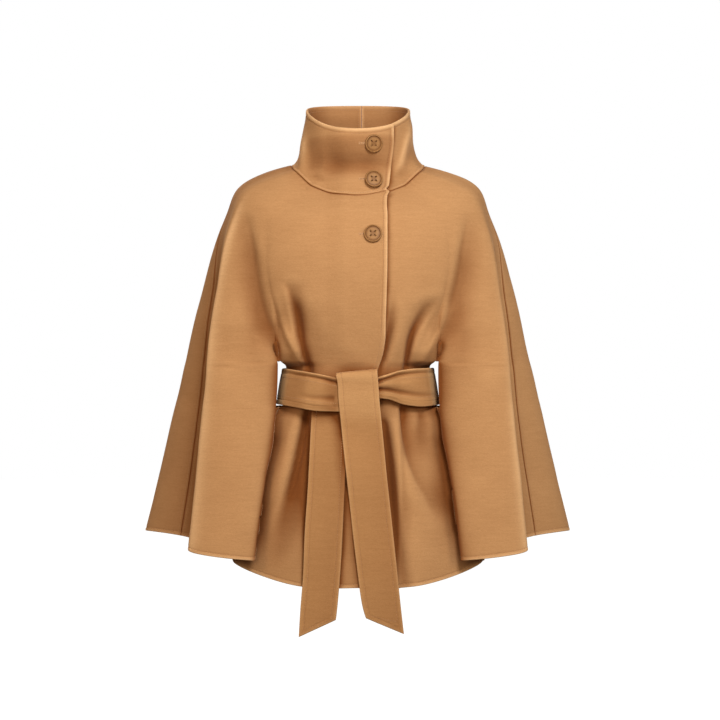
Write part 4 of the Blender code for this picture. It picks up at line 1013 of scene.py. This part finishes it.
# Creases along the belt near the knot: share of its height at each x, how deep, how wide (share of the height).
BELT_CREASES = [
    # wearer's right: the rolled upper edge
    ("x at out spread", [[-122, .10, -1.0, .05], [-100, .115, -1.6, .05], [-70, .12, -2.2, .05], [-44, .14, -2.8, .055], [-20, .16, -2.0, .06]]),
    ("x at out spread", [[-116, .04, .8, .05], [-90, .04, 1.6, .05], [-60, .04, 2.2, .055], [-40, .05, 2.2, .06], [-28, .05, 1.0, .06]]),
    ("x at out spread", [[-112, .84, 0, .10], [-86, .82, 1.2, .09], [-60, .80, 2.0, .09], [-40, .82, 1.6, .09]]),
    ("x at out spread", [[-100, .66, 0, .08], [-78, .66, -1.0, .07], [-56, .64, -1.6, .07], [-38, .62, -2.0, .08]]),
    # wearer's left: two creases fan out of the knot
    ("x at out spread", [[33, .20, -5.0, .09], [48, .17, -4.4, .07], [66, .14, -3.2, .06], [92, .12, -2.2, .055], [122, .11, -1.4, .05]]),
    ("x at out spread", [[33, .57, -5.0, .085], [44, .60, -4.8, .08], [58, .64, -4.2, .075], [78, .665, -3.0, .07], [104, .70, -1.8, .07], [120, .72, -1.0, .07]]),
    ("x at out spread", [[36, .03, 1.2, .06], [56, .03, 2.2, .06], [84, .04, 1.4, .06], [116, .04, .4, .06]]),
    ("x at out spread", [[34, .37, 1.0, .11], [52, .38, 2.6, .12], [74, .40, 2.2, .14], [108, .44, .6, .16]]),
    ("x at out spread", [[36, .84, .8, .10], [54, .82, 2.6, .11], [76, .84, 2.0, .12], [110, .88, .5, .12]]),
]


def belt_ring(angles, wall):
    c, s = np.cos(angles), np.sin(angles)
    depth = np.where(c > 0, BELT["front"], BELT["back"])
    n = BELT["corner"]
    x = np.sign(s) * np.abs(s) ** (2 / n) * (BELT["half_width"] + wall)
    y = -np.sign(c) * np.abs(c) ** (2 / n) * (depth + wall)
    return x, y - BELT["bulge"] * (c > 0) * smooth(x, -108, -78) * (1 - smooth(x, 34, 66))


def belt_band(name):
    count = 300
    fine = np.linspace(0, 2 * math.pi, 4001)
    x, y = belt_ring(fine, BELT_CLOTH)
    s = np.concatenate([[0], np.cumsum(np.hypot(np.diff(x), np.diff(y)))])
    angles = np.interp(np.linspace(0, s[-1], count + 1)[:-1], s, fine)
    xi, yi = belt_ring(angles, 0)
    front = np.cos(angles) > 0
    blend = smooth(np.abs(yi), 0, 60) * ~front
    top = ease(xi, BELT_EDGE["x"], BELT_EDGE["top"])
    bottom = ease(xi, BELT_EDGE["x"], BELT_EDGE["bottom"])
    side_top = np.where(xi > 0, BELT_EDGE["top"][-1], BELT_EDGE["top"][0])
    side_bottom = np.where(xi > 0, BELT_EDGE["bottom"][-1], BELT_EDGE["bottom"][0])
    top = np.where(front, top, side_top + (BELT_BACK_EDGE[0] - side_top) * blend)
    bottom = np.where(front, bottom, side_bottom + (BELT_BACK_EDGE[1] - side_bottom) * blend)
    height = top - bottom
    edge = [0, .15, .5, 1.1, 1.9, 3.2, 5.0]
    near = edge + [EDGE_STITCH + d for d in STITCH_RUN]
    mid = np.linspace(13.5, 48.5, 22)
    d = np.array(near + list(mid) + [62 - v for v in near[::-1]])[:, None] / 62
    z = top[None] - height[None] * d
    xo, yo = belt_ring(angles, BELT_CLOTH)
    p = np.stack([xo[None] * (1 + BELT["flare"] / BELT["half_width"] * d), np.broadcast_to(yo, z.shape), z], axis=2)
    flat = np.stack([np.gradient(np.concatenate([xo[-1:], xo, xo[:1]]))[1:-1], np.gradient(np.concatenate([yo[-1:], yo, yo[:1]]))[1:-1]], axis=1)
    normal = np.stack([flat[:, 1], -flat[:, 0], 0 * xo], axis=1)
    normal = normal / np.linalg.norm(normal, axis=1, keepdims=True)
    out = np.zeros(z.shape)
    for columns, rows in BELT_CREASES:
        f = table(columns, rows)
        inside = smooth(xo, f["x"][0] - 8, f["x"][0]) * (1 - smooth(xo, f["x"][-1], f["x"][-1] + 3))
        at, deep, wide = (ease(xo, f["x"], f[k]) for k in ("at", "out", "spread"))
        out += (front * inside * deep)[None] * np.exp(-((d - at[None]) / wide[None]) ** 2)
    # a swell of the cloth between its edges is worked out, but added with no weight; a small wave is added
    fill = .9 * np.sin(np.pi * np.clip(d, 0, 1)) ** .8
    wave = .35 * np.sin(xo / 21 + 3 * d) * np.sin(d * 5 + yo / 40)
    p = p + normal[None] * (out + 0 * fill + wave)[..., None]
    full = np.concatenate([p[:, -1:], p, p[:, :1]], axis=1)
    n = grid_normal(full)[:, 1:-1]
    # the band is a ring seen from outside: normals point away from the middle
    n = n * np.sign((n * normal[None]).sum(axis=2, keepdims=True))
    length = np.abs(z - top[None])
    away = np.minimum(length, np.abs(z - bottom[None]))
    half = half_thickness(away, BELT_CLOTH, 1.8)
    half[0] = half[-1] = 0
    groove = .45 * np.exp(-((away - EDGE_STITCH) / 1.0) ** 2) - .1 * smooth(away, 1.4, 3.2) * (1 - smooth(away, EDGE_STITCH - 2.4, EDGE_STITCH - .9))
    middle = p - n * BELT_CLOTH / 2
    outer = middle + n * (half - np.where(half > 1.3, groove, 0))[..., None]
    inner = middle - n * half[..., None]
    # edge: painted highlight along the top and bottom edges and on the ends where the band turns; deep: painted shade
    # in the creases and either side of the knot
    fields = {"crest": crest_of(p, n), "edge": .8 * np.maximum(np.exp(-(away / 2.4) ** 2), smooth(np.abs(xo), 112, 119) + 0 * away), "deep": np.clip(-out / 4.5, 0, .9) + .5 * front * smooth(xo, -62, -40) * (1 - smooth(xo, -34, -30)) + .6 * front * (1 - smooth(xo, 32, 44)) * smooth(xo, 24, 30)}
    obj = cloth_mesh(name, outer, inner, half <= 1e-9, ring=True, fields=fields)
    for row in (0, -1):
        i = int(np.abs(away[:, 10] - EDGE_STITCH).argmin())
        i = i if row == 0 else len(d) - 1 - i
        loop = np.concatenate([outer[i], outer[i, :1]])
        loop_n = np.concatenate([n[i], n[i, :1]])
        stitch_row(name, loop, loop_n)
    return put_on(obj, BELT_WOOL_SHADED, "belt")


BELT_OBJ = belt_band("cape_belt")

KNOT_TAIL = table("z left right left_y right_y", [
    [-352, -34.3, 32.8, -125.7, -125.6], [-380, -32.1, 34.8, -125.8, -125.6], [-410, -29.2, 37.6, -126.2, -125.6],
    [-440, -26.2, 40.5, -129.6, -126.2], [-480, -22.0, 44.3, -139.2, -131.8], [-512, -18.4, 47.5, -142.8, -138.6],
    [-555, -13.5, 52.3, -144.5, -143.6], [-600, -8.5, 57.0, -149.0, -148.6], [-660, -1.2, 63.4, -154.4, -153.2],
    [-716, 7.0, 69.2, -156.6, -155.2],
])
KNOT_TAIL_END = table("x z y", [[12.7, -735.5, -157.0], [74.4, -761.5, -155.6]])
KNOT_TOP = table("x z", [[-35.7, -339.5], [31.8, -333.0]])
KNOT_FOLD = table("y drop", [[-117.4, 24], [-117.5, 12], [-118.2, 6.4], [-121.4, 4.2], [-124.8, 6.4]])
UNDER_TAIL = table("z left right left_y right_y", [
    [-372, -73.0, -12.5, -101.2, -114.6], [-392, -74.3, -13.8, -100.4, -115.6], [-410, -75.6, -15.0, -101.2, -116.7],
    [-440, -77.2, -16.6, -110.2, -123.8], [-480, -79.0, -18.5, -121.2, -133.8], [-505, -80.4, -19.7, -126.5, -137.0],
    [-550, -83.0, -22.0, -134.0, -143.2], [-596, -86.1, -24.2, -139.5, -147.7], [-675, -89.2, -29.0, -145.5, -153.2],
    [-724, -93.0, -33.2, -149.0, -155.5],
])
UNDER_TAIL_END = table("x z y", [[-95.4, -767.0, -150.5], [-35.0, -738.5, -156.5]])
TAIL_WIDTH = 65.0


def tail_sheet(name, slot, rows, end, wrap):
    """A tail of the belt: its inner face runs down the table's rows to the slanted end, after the rows of wrap."""
    stations = []           # (left point, right point) down the tail
    for y, drop in wrap:
        stations.append(([KNOT_TOP["x"][0], y, KNOT_TOP["z"][0] - drop], [KNOT_TOP["x"][1], y, KNOT_TOP["z"][1] - drop]))
    for i in range(len(rows["z"])):
        stations.append(([rows["left"][i], rows["left_y"][i], rows["z"][i]], [rows["right"][i], rows["right_y"][i], rows["z"][i]]))
    stations.append(([end["x"][0], end["y"][0], end["z"][0]], [end["x"][1], end["y"][1], end["z"][1]]))
    rails = np.array(stations, float)                                  # (stations, 2, 3)
    middle = rails.mean(axis=1)
    s = np.concatenate([[0], np.cumsum(np.linalg.norm(np.diff(middle, axis=0), axis=1))])
    h = np.diff(s)
    matrix, right = bends(h, rails.reshape(len(rails), -1), False)
    bend = np.linalg.solve(matrix, right)
    step = 3.0
    tip = with_stitch(EDGE_STITCH)
    at = np.concatenate([FREE, np.linspace(3, s[-1] - tip[-1] - 3, int(s[-1] / step)), [s[-1] - d for d in tip[::-1]]])
    k = np.clip(np.searchsorted(s, at, side="right") - 1, 0, len(h) - 1)
    b = ((at - s[k]) / h[k])[:, None]
    c = 1 - b
    flat = rails.reshape(len(rails), -1)
    rail = (c * flat[k] + b * flat[k + 1] + ((c**3 - c) * bend[k] + (b**3 - b) * bend[k + 1]) * h[k][:, None] ** 2 / 6)
    rail = rail.reshape(-1, 2, 3)
    near = with_stitch(EDGE_STITCH)
    across = np.array(near + list(np.linspace(near[-1] + 2.5, TAIL_WIDTH - near[-1] - 2.5, 12)) + [TAIL_WIDTH - v for v in near[::-1]]) / TAIL_WIDTH
    p = rail[:, :1] * (1 - across)[None, :, None] + rail[:, 1:] * across[None, :, None]
    n = grid_normal(p)
    n = n * (-1 if n[len(n) // 2, 10, 1] > 0 else 1)
    length = run_lengths(p, 0)
    hang = smooth(length, 70, 160)
    # the tail hangs in one slow curve, with its edges barely lifting
    bow = hang * (.8 * np.sin(length / 58 + 1.2) + .5 * np.sin(length / 31 + across[None] * 2.4)) - .7 * hang * (2 * across[None] - 1) ** 2
    p = p + n * (BELT_CLOTH + np.minimum(bow, .9))[..., None]
    n = grid_normal(p)
    n = n * (-1 if n[len(n) // 2, 10, 1] > 0 else 1)
    width = run_lengths(p, 1)
    left, rightward = width, width[:, -1:] - width
    start_away, end_away = run_lengths(p, 0), run_lengths(p, 0)[-1:] - run_lengths(p, 0)
    away = np.minimum(np.minimum(left, rightward), end_away)
    half = half_thickness(np.minimum(away, start_away), BELT_CLOTH, 1.9)
    groove = .45 * np.exp(-((away - EDGE_STITCH) / 1.0) ** 2) - .1 * smooth(away, 1.4, 3.2) * (1 - smooth(away, EDGE_STITCH - 2.4, EDGE_STITCH - .9))
    mid = p - n * BELT_CLOTH / 2
    outer = mid + n * (half - np.where(half > 1.4, groove, 0))[..., None]
    inner = mid - n * half[..., None]
    flip = grid_normal(p)[len(p) // 2, 10, 1] > 0
    if flip:
        outer, inner, half, n, away = outer[:, ::-1], inner[:, ::-1], half[:, ::-1], n[:, ::-1], away[:, ::-1]
    # under the other tail and under the band, in their shade
    x, z = outer[..., 0], outer[..., 2]
    over = ease(-z, -KNOT_TAIL["z"], KNOT_TAIL["left"]) if slot == "belt_under_tail" else 1e3 + 0 * x
    share = (x - x.min(axis=1, keepdims=True)) / np.ptp(x, axis=1)[:, None]
    shade = .8 * smooth(x, over - 22, over + 2) + .5 * (slot == "belt_under_tail") * (1 - smooth(-z, 404, 432))
    # painted shade growing towards each tail's edge at +x, below the band
    shade = shade + (.04 + .26 * share ** 1.6) * smooth(-z, 404, 470)
    # edge: painted highlight along the tail's edges and on the top of the knot tail
    fields = {"crest": crest_of(outer, n), "edge": np.maximum(.8 * np.exp(-(away / 2.4) ** 2), .34 * (slot == "belt_knot_tail") * (1 - smooth(-z, 396, 432))), "deep": np.clip(shade, 0, .85)}
    obj = cloth_mesh(name, outer, inner, half <= 1e-9, fields=fields)
    j = int(np.abs(across * TAIL_WIDTH - EDGE_STITCH).argmin())
    tip_row = int(np.abs(end_away[:, 10] - EDGE_STITCH).argmin())
    for column in (j, len(across) - 1 - j):
        stitch_row(name, outer[6:tip_row + 1, column], n[6:tip_row + 1, column])
    stitch_row(name, outer[tip_row, j:len(across) - j], n[tip_row, j:len(across) - j])
    put_on(obj, BELT_WOOL_SHADED, slot)
    return obj


KNOT_OBJ = tail_sheet("cape_belt_knot_tail", "belt_knot_tail", KNOT_TAIL, KNOT_TAIL_END, list(zip(KNOT_FOLD["y"], KNOT_FOLD["drop"])))
UNDER_OBJ = tail_sheet("cape_belt_under_tail", "belt_under_tail", UNDER_TAIL, UNDER_TAIL_END, [])

# ------------------------------------------------------------------ buttons and buttonholes
BUTTONS = table("x z on_collar", [[24.6, 37.2, 1], [24.8, -20.8, 1], [24.5, -114, 0]])
HOLE_DIAMETER, HOLE_SPACING, RIM_WIDTH, DISH_DEPTH = 2.5, 6.0, 3.4, 1.6


def tree_of(*objs):
    points, faces = [], []
    for obj in objs:
        start = len(points)
        points += [v.co[:] for v in obj.data.vertices]
        faces += [tuple(start + v for v in f.vertices) for f in obj.data.polygons]
    return BVHTree.FromPolygons(points, faces)


CLOSED_FRONT = tree_of(RIGHT.obj, COLLAR_RIGHT)


def on_front(x, z):
    """Point and normal, mm, where the closed front is met from ahead."""
    hit = CLOSED_FRONT.ray_cast(Vector((x / 1000, -1, z / 1000)), Vector((0, 1, 0)))
    p, n = np.array(hit[0]) * 1000, np.array(hit[1])
    return p, n if n[1] < 0 else -n


def level_frame(x, z, radius=9.0):
    """Middle of the front about x, z, its mean normal, and how far the cloth rises above the middle's plane within the radius."""
    around = [on_front(x + radius * math.cos(a), z + radius * math.sin(a)) for a in np.arange(12) * math.pi / 6]
    centre, _ = on_front(x, z)
    pts = np.array([p for p, _ in around] + [centre])
    mean = pts.mean(axis=0)
    _, _, axes = np.linalg.svd(pts - mean)
    n = axes[2] if axes[2][1] < 0 else -axes[2]
    rise = max(0.0, ((pts - centre) @ n).max())
    return centre, n, rise


def button_material():
    material = bpy.data.materials.new("button")
    material.use_nodes = True
    tree = material.node_tree
    shader = tree.nodes["Principled BSDF"]
    at = tree.nodes.new("ShaderNodeTexCoord").outputs["Object"]
    grain = noise_at(tree, at, 160.0, (1, 1, 2.2), detail=4.0)
    speck = noise_at(tree, at, 900.0, detail=2.0)
    value = math_node(tree, "ADD", math_node(tree, "MULTIPLY", grain, .75), math_node(tree, "MULTIPLY", speck, .25), clamp=True)
    mix = tree.nodes.new("ShaderNodeMix")
    mix.data_type = "RGBA"
    mix.inputs["A"].default_value = (.31, .15, .052, 1)
    mix.inputs["B"].default_value = (.46, .238, .088, 1)
    tree.links.new(value, mix.inputs["Factor"])
    # painted shade: darker in the groove inside the rim, round the holes and at the rim's outer edge
    groove = tree.nodes.new("ShaderNodeAttribute")
    groove.attribute_name = "groove"
    dark = tree.nodes.new("ShaderNodeMix")
    dark.data_type, dark.blend_type = "RGBA", "MULTIPLY"
    dark.inputs["B"].default_value = (.42, .32, .24, 1)
    tree.links.new(groove.outputs["Fac"], dark.inputs["Factor"])
    tree.links.new(mix.outputs["Result"], dark.inputs["A"])
    tree.links.new(dark.outputs["Result"], shader.inputs["Base Color"])
    ramp = math_node(tree, "ADD", math_node(tree, "MULTIPLY", speck, .18), .42)
    tree.links.new(ramp, shader.inputs["Roughness"])
    bump = tree.nodes.new("ShaderNodeBump")
    bump.inputs["Strength"].default_value = .15
    bump.inputs["Distance"].default_value = .0003
    tree.links.new(grain, bump.inputs["Height"])
    tree.links.new(bump.outputs[0], shader.inputs["Normal"])
    shader.inputs["Specular IOR Level"].default_value = .16
    shader.inputs["Coat Weight"].default_value = .01
    shader.inputs["Coat Roughness"].default_value = .25
    return material


BUTTON_MATERIAL = button_material()


def button(index, x, z):
    """A rimmed four-hole button with its thread, face along the cloth's normal."""
    name = "button_%d" % index
    around, hole_sides = 64, 20
    radius, flat_r = BUTTON_DIAMETER / 2, BUTTON_DIAMETER / 2 - RIM_WIDTH
    half = HOLE_SPACING / 2
    centres = [(sx * half, sy * half) for sx, sy in ((1, 1), (-1, 1), (-1, -1), (1, -1))]
    angle = np.arange(around) * 2 * math.pi / around
    loops = [[(flat_r * math.cos(a), flat_r * math.sin(a)) for a in angle]]
    for cx, cy in centres:
        loops.append([(cx + HOLE_DIAMETER / 2 * math.cos(2 * math.pi * k / hole_sides),
                       cy + HOLE_DIAMETER / 2 * math.sin(2 * math.pi * k / hole_sides)) for k in range(hole_sides)])
    flat = [p for loop in loops for p in loop]
    extra = [(r * math.cos(a), r * math.sin(a)) for r, n in ((5.4, 24), (8.2, 36)) for a in np.arange(n) * 2 * math.pi / n]
    edges, start = [], 0
    for loop in loops:
        edges += [(start + k, start + (k + 1) % len(loop)) for k in range(len(loop))]
        start += len(loop)
    points2, _, tris, *_ = delaunay_2d_cdt([Vector(p) for p in flat + extra], edges, [], 1, 1e-6)
    tris = [t for t in tris if all(math.dist(np.mean([points2[v][:] for v in t], axis=0), c) > HOLE_DIAMETER * .46 for c in centres)]
    top = BUTTON_THICKNESS - DISH_DEPTH
    n2 = len(points2)

    def dish(p):
        r = math.hypot(*p)
        lip = min((math.dist(p, c) - HOLE_DIAMETER / 2 for c in centres))
        return top + .25 - .55 * (r / flat_r) ** 4 - (.18 if lip < .02 else 0)

    local = [(p[0], p[1], dish(p[:])) for p in points2] + [(p[0], p[1], 0) for p in points2]
    faces = [tuple(t) for t in tris] + [tuple(n2 + v for v in t[::-1]) for t in tris]
    start = around
    for _ in centres:
        for k in range(hole_sides):
            a, b = start + k, start + (k + 1) % hole_sides
            faces.append((a, b, n2 + b, n2 + a))
        start += hole_sides
    section = [(flat_r + .35, top + .05), (flat_r + .75, top + .45), (flat_r + 1.1, top + .85), (flat_r + 1.5, BUTTON_THICKNESS),
               (radius - 1.5, BUTTON_THICKNESS - .02), (radius - .8, BUTTON_THICKNESS - .35), (radius - .25, BUTTON_THICKNESS - 1.0),
               (radius, BUTTON_THICKNESS - 1.9), (radius - .2, 1.1), (radius - .7, .35), (radius - 1.4, 0)]
    previous = list(range(around))
    for r, h in section:
        current = list(range(len(local), len(local) + around))
        local += [(r * math.cos(a), r * math.sin(a), h) for a in angle]
        for k in range(around):
            j = (k + 1) % around
            faces.append((previous[k], current[k], current[j], previous[j]))
        previous = current
    for k in range(around):
        j = (k + 1) % around
        faces.append((previous[k], n2 + k, n2 + j, previous[j]))
    low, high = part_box(name)
    centre = np.array([(a + b) / 2 for a, b in zip(low, high)]) * 1000
    _, n, _ = level_frame(x, z)
    side = np.cross([0, 0, 1.0], n)
    side = -side / np.linalg.norm(side)
    side = np.array([-n[1], n[0], 0]) / math.hypot(n[0], n[1])
    up = np.cross(n, side)
    axes = np.array([side, up, n])
    # seated where the CAD's button is: its middle is half the thickness above the underside
    base = centre - n * BUTTON_THICKNESS / 2
    world = base + np.array(local) @ axes
    mesh = bpy.data.meshes.new("cape_" + name)
    mesh.from_pydata((world / 1000).tolist(), [], faces)
    mesh.validate()
    mesh.shade_smooth()
    mesh.set_sharp_from_angle(angle=math.radians(50))
    flat_at = np.array(local)[:, :2]
    r = np.hypot(flat_at[:, 0], flat_at[:, 1])
    hole = np.min([np.hypot(flat_at[:, 0] - cx, flat_at[:, 1] - cy) for cx, cy in centres], axis=0)
    # painted shade in the rim's groove, round the holes and at the outer edge, stored as the attribute groove
    painted_light = np.maximum(.85 * np.exp(-((r - flat_r - .2) / .8) ** 2), .5 * np.exp(-(np.maximum(hole - HOLE_DIAMETER / 2, 0) / .25) ** 2))
    painted_light = np.maximum(painted_light, .8 * smooth(r, radius - .9, radius))
    mesh.attributes.new("groove", "FLOAT", "POINT").data.foreach_set("value", painted_light.astype(np.float32))
    obj = bpy.data.objects.new("cape_" + name, mesh)
    SCENE.collection.objects.link(obj)
    put_on(obj, BUTTON_MATERIAL, name)
    # thread: two bars across the pairs of holes
    frames = []
    for sy in (-1, 1):
        at = base + np.array([0, sy * half, top + .2]) @ axes
        frames.append((at, axes[0], n))
    scatter("cape_%s_thread" % name, capsule(HOLE_SPACING - .6, .2, sides=8, dip=1.4), frames, THREAD)
    return base, axes


def buttonhole(index, x, z):
    """A horizontal worked buttonhole that the button sits over, bar-tacked at the end nearer the middle."""
    start, stop, reach = x - 22.0, x + 7.0, 2.0
    frames = []
    for px in np.arange(start, stop, .85):
        for up in (-1, 1):
            p, n = on_front(px, z + up * reach / 2)
            frames.append((p + n * .12, np.array([0.12 * up, 0, 1.0]), n))
    for pz in np.linspace(-reach * .9, reach * .9, 6):
        p, n = on_front(start - .6, z + pz)
        frames.append((p + n * .15, np.array([1.0, 0, 0]), n))
    scatter("cape_buttonhole_%d" % index, capsule(2.2, .36, dip=.25), frames, HOLE_THREAD)
    # the slit: a row of near-black capsules just under the cloth, painted shade in the opening
    cut = []
    for px in np.arange(start + 1, stop, 2.2):
        p, n = on_front(px, z)
        cut.append((p - n * .12, np.array([1.0, 0, 0]), n))
    dark = bpy.data.materials.get("buttonhole_slit_shade") or thread_material("buttonhole_slit_shade", (.10, .045, .018))
    scatter("cape_buttonhole_cut_%d" % index, capsule(2.6, .34, dip=0), cut, dark)


for number in range(3):
    bx, bz, on_collar = (BUTTONS[k][number] for k in ("x", "z", "on_collar"))
    button(number + 1, bx, bz)
    buttonhole(number + 1, bx, bz)

# ------------------------------------------------------------------ stitching
for piece, frames in frames_of.items():
    scatter(piece + "_stitching", STITCH, frames, THREAD)

# ------------------------------------------------------------------ how open each point of the cloth is, which the wool turns into painted shade
def rays_up(count):
    """Directions evenly over the half space round +Z."""
    k = np.arange(count) + .5
    z, turn = 1 - k / count, k * math.pi * (3 - math.sqrt(5))
    side = np.sqrt(1 - z * z)
    return np.stack([side * np.cos(turn), side * np.sin(turn), z], axis=1)


def openness(objs, reach=.075, cell=.0055, count=20):
    """Share of the half space over each point that no cloth closes off within reach, smoothed, as the attribute open."""
    tree, local = tree_of(*objs), rays_up(count)
    for obj in objs:
        mesh = obj.data
        n = len(mesh.vertices)
        at, normal = np.empty(3 * n, np.float32), np.empty(3 * n, np.float32)
        mesh.vertices.foreach_get("co", at)
        mesh.vertex_normals.foreach_get("vector", normal)
        at, normal = at.reshape(-1, 3).astype(float), normal.reshape(-1, 3).astype(float)
        key = np.concatenate([np.floor(at / cell), np.round(normal)], axis=1).astype(int)
        _, first, cell_of = np.unique(key, axis=0, return_index=True, return_inverse=True)
        cell_of = cell_of.ravel()
        z = normal[first]
        x = np.cross(np.where(np.abs(z[:, :1]) < .8, [[1.0, 0, 0]], [[0, 1.0, 0]]), z)
        x = x / np.linalg.norm(x, axis=1, keepdims=True)
        y = np.cross(z, x)
        ways = local[None, :, :1] * x[:, None] + local[None, :, 1:2] * y[:, None] + local[None, :, 2:] * z[:, None]
        starts = at[first] + z * .0012
        share = np.empty(len(first))
        cast = tree.ray_cast
        for i in range(len(first)):
            start, total = Vector(starts[i]), 0.0
            for way in ways[i].tolist():
                hit = cast(start, way, reach)[3]
                total += 1.0 if hit is None else hit / reach * .6
            share[i] = total / count
        value = share[cell_of]
        ends = np.empty(2 * len(mesh.edges), np.int32)
        mesh.edges.foreach_get("vertices", ends)
        a, b = ends.reshape(-1, 2).T
        around = np.bincount(a, minlength=n) + np.bincount(b, minlength=n)
        for _ in range(9):
            sums = np.bincount(a, value[b], n) + np.bincount(b, value[a], n)
            value = .4 * value + .6 * sums / np.maximum(around, 1)
        mesh.attributes.new("open", "FLOAT", "POINT").data.foreach_set("value", np.maximum(smooth(value, .22, .97), .95 if obj is BELT_OBJ else 0).astype(np.float32))


CLOTH_PIECES = [RIGHT.obj, LEFT.obj, BACK_PANEL.obj, COLLAR_RIGHT, COLLAR_LEFT, BELT_OBJ, KNOT_OBJ, UNDER_OBJ]
openness(CLOTH_PIECES)

# ------------------------------------------------------------------ studio
SCENE.view_settings.view_transform = "Standard"
SCENE.view_settings.look = "None"

bpy.ops.mesh.primitive_circle_add(vertices=96, radius=14, fill_type="NGON", location=(0, 0, -1.45))
floor = bpy.context.object
floor.name = "floor"
floor_material = bpy.data.materials.new("floor")
floor_material.use_nodes = True
floor_shader = floor_material.node_tree.nodes["Principled BSDF"]
floor_shader.inputs["Base Color"].default_value = (.86, .86, .86, 1)
floor_shader.inputs["Roughness"].default_value = .9
floor_shader.inputs["Emission Color"].default_value = (1, 1, 1, 1)
floor_shader.inputs["Emission Strength"].default_value = 1.0
floor.data.materials.append(floor_material)
floor.visible_diffuse = False      # the floor is white to look at, but throws no light up into the folds

world = bpy.data.worlds.new("studio")
world.use_nodes = True
SCENE.world = world
background = world.node_tree.nodes["Background"]
background.inputs["Color"].default_value = (1, 1, 1, 1)
background.inputs["Strength"].default_value = 1.0
world_tree = world.node_tree
soft = world_tree.nodes.new("ShaderNodeBackground")
soft.inputs["Color"].default_value = (1, .78, .55, 1)
soft.inputs["Strength"].default_value = .10
path = world_tree.nodes.new("ShaderNodeLightPath")
mix_world = world_tree.nodes.new("ShaderNodeMixShader")
world_tree.links.new(path.outputs["Is Camera Ray"], mix_world.inputs[0])
world_tree.links.new(soft.outputs[0], mix_world.inputs[1])
world_tree.links.new(background.outputs[0], mix_world.inputs[2])
world_tree.links.new(mix_world.outputs[0], world_tree.nodes["World Output"].inputs["Surface"])


def area_light(name, place, target, size, power, colour=(1, 1, 1)):
    data = bpy.data.lights.new(name, "AREA")
    data.shape, data.size, data.energy, data.color = "DISK", size, power, colour
    obj = bpy.data.objects.new(name, data)
    obj.location = place
    obj.rotation_euler = (Vector(target) - Vector(place)).to_track_quat("-Z", "Y").to_euler()
    SCENE.collection.objects.link(obj)
    obj.visible_camera = False
    return obj


area_light("key", (.5, -1.85, .95), (0, 0, -.25), .8, 35.8)
area_light("left", (-2.1, -1.7, .6), (0, 0, -.3), 1.2, 15, (1, .8, .6))
area_light("right", (2.2, -1.7, .1), (.1, 0, -.5), 1.0, 13, (1, .86, .7))
area_light("front", (-.65, -2.6, 0), (0, 0, -.35), 1.0, 14, (1, .84, .66))
area_light("rear", (-.6, 3.0, 1.3), (0, 0, -.3), 2.0, 60)
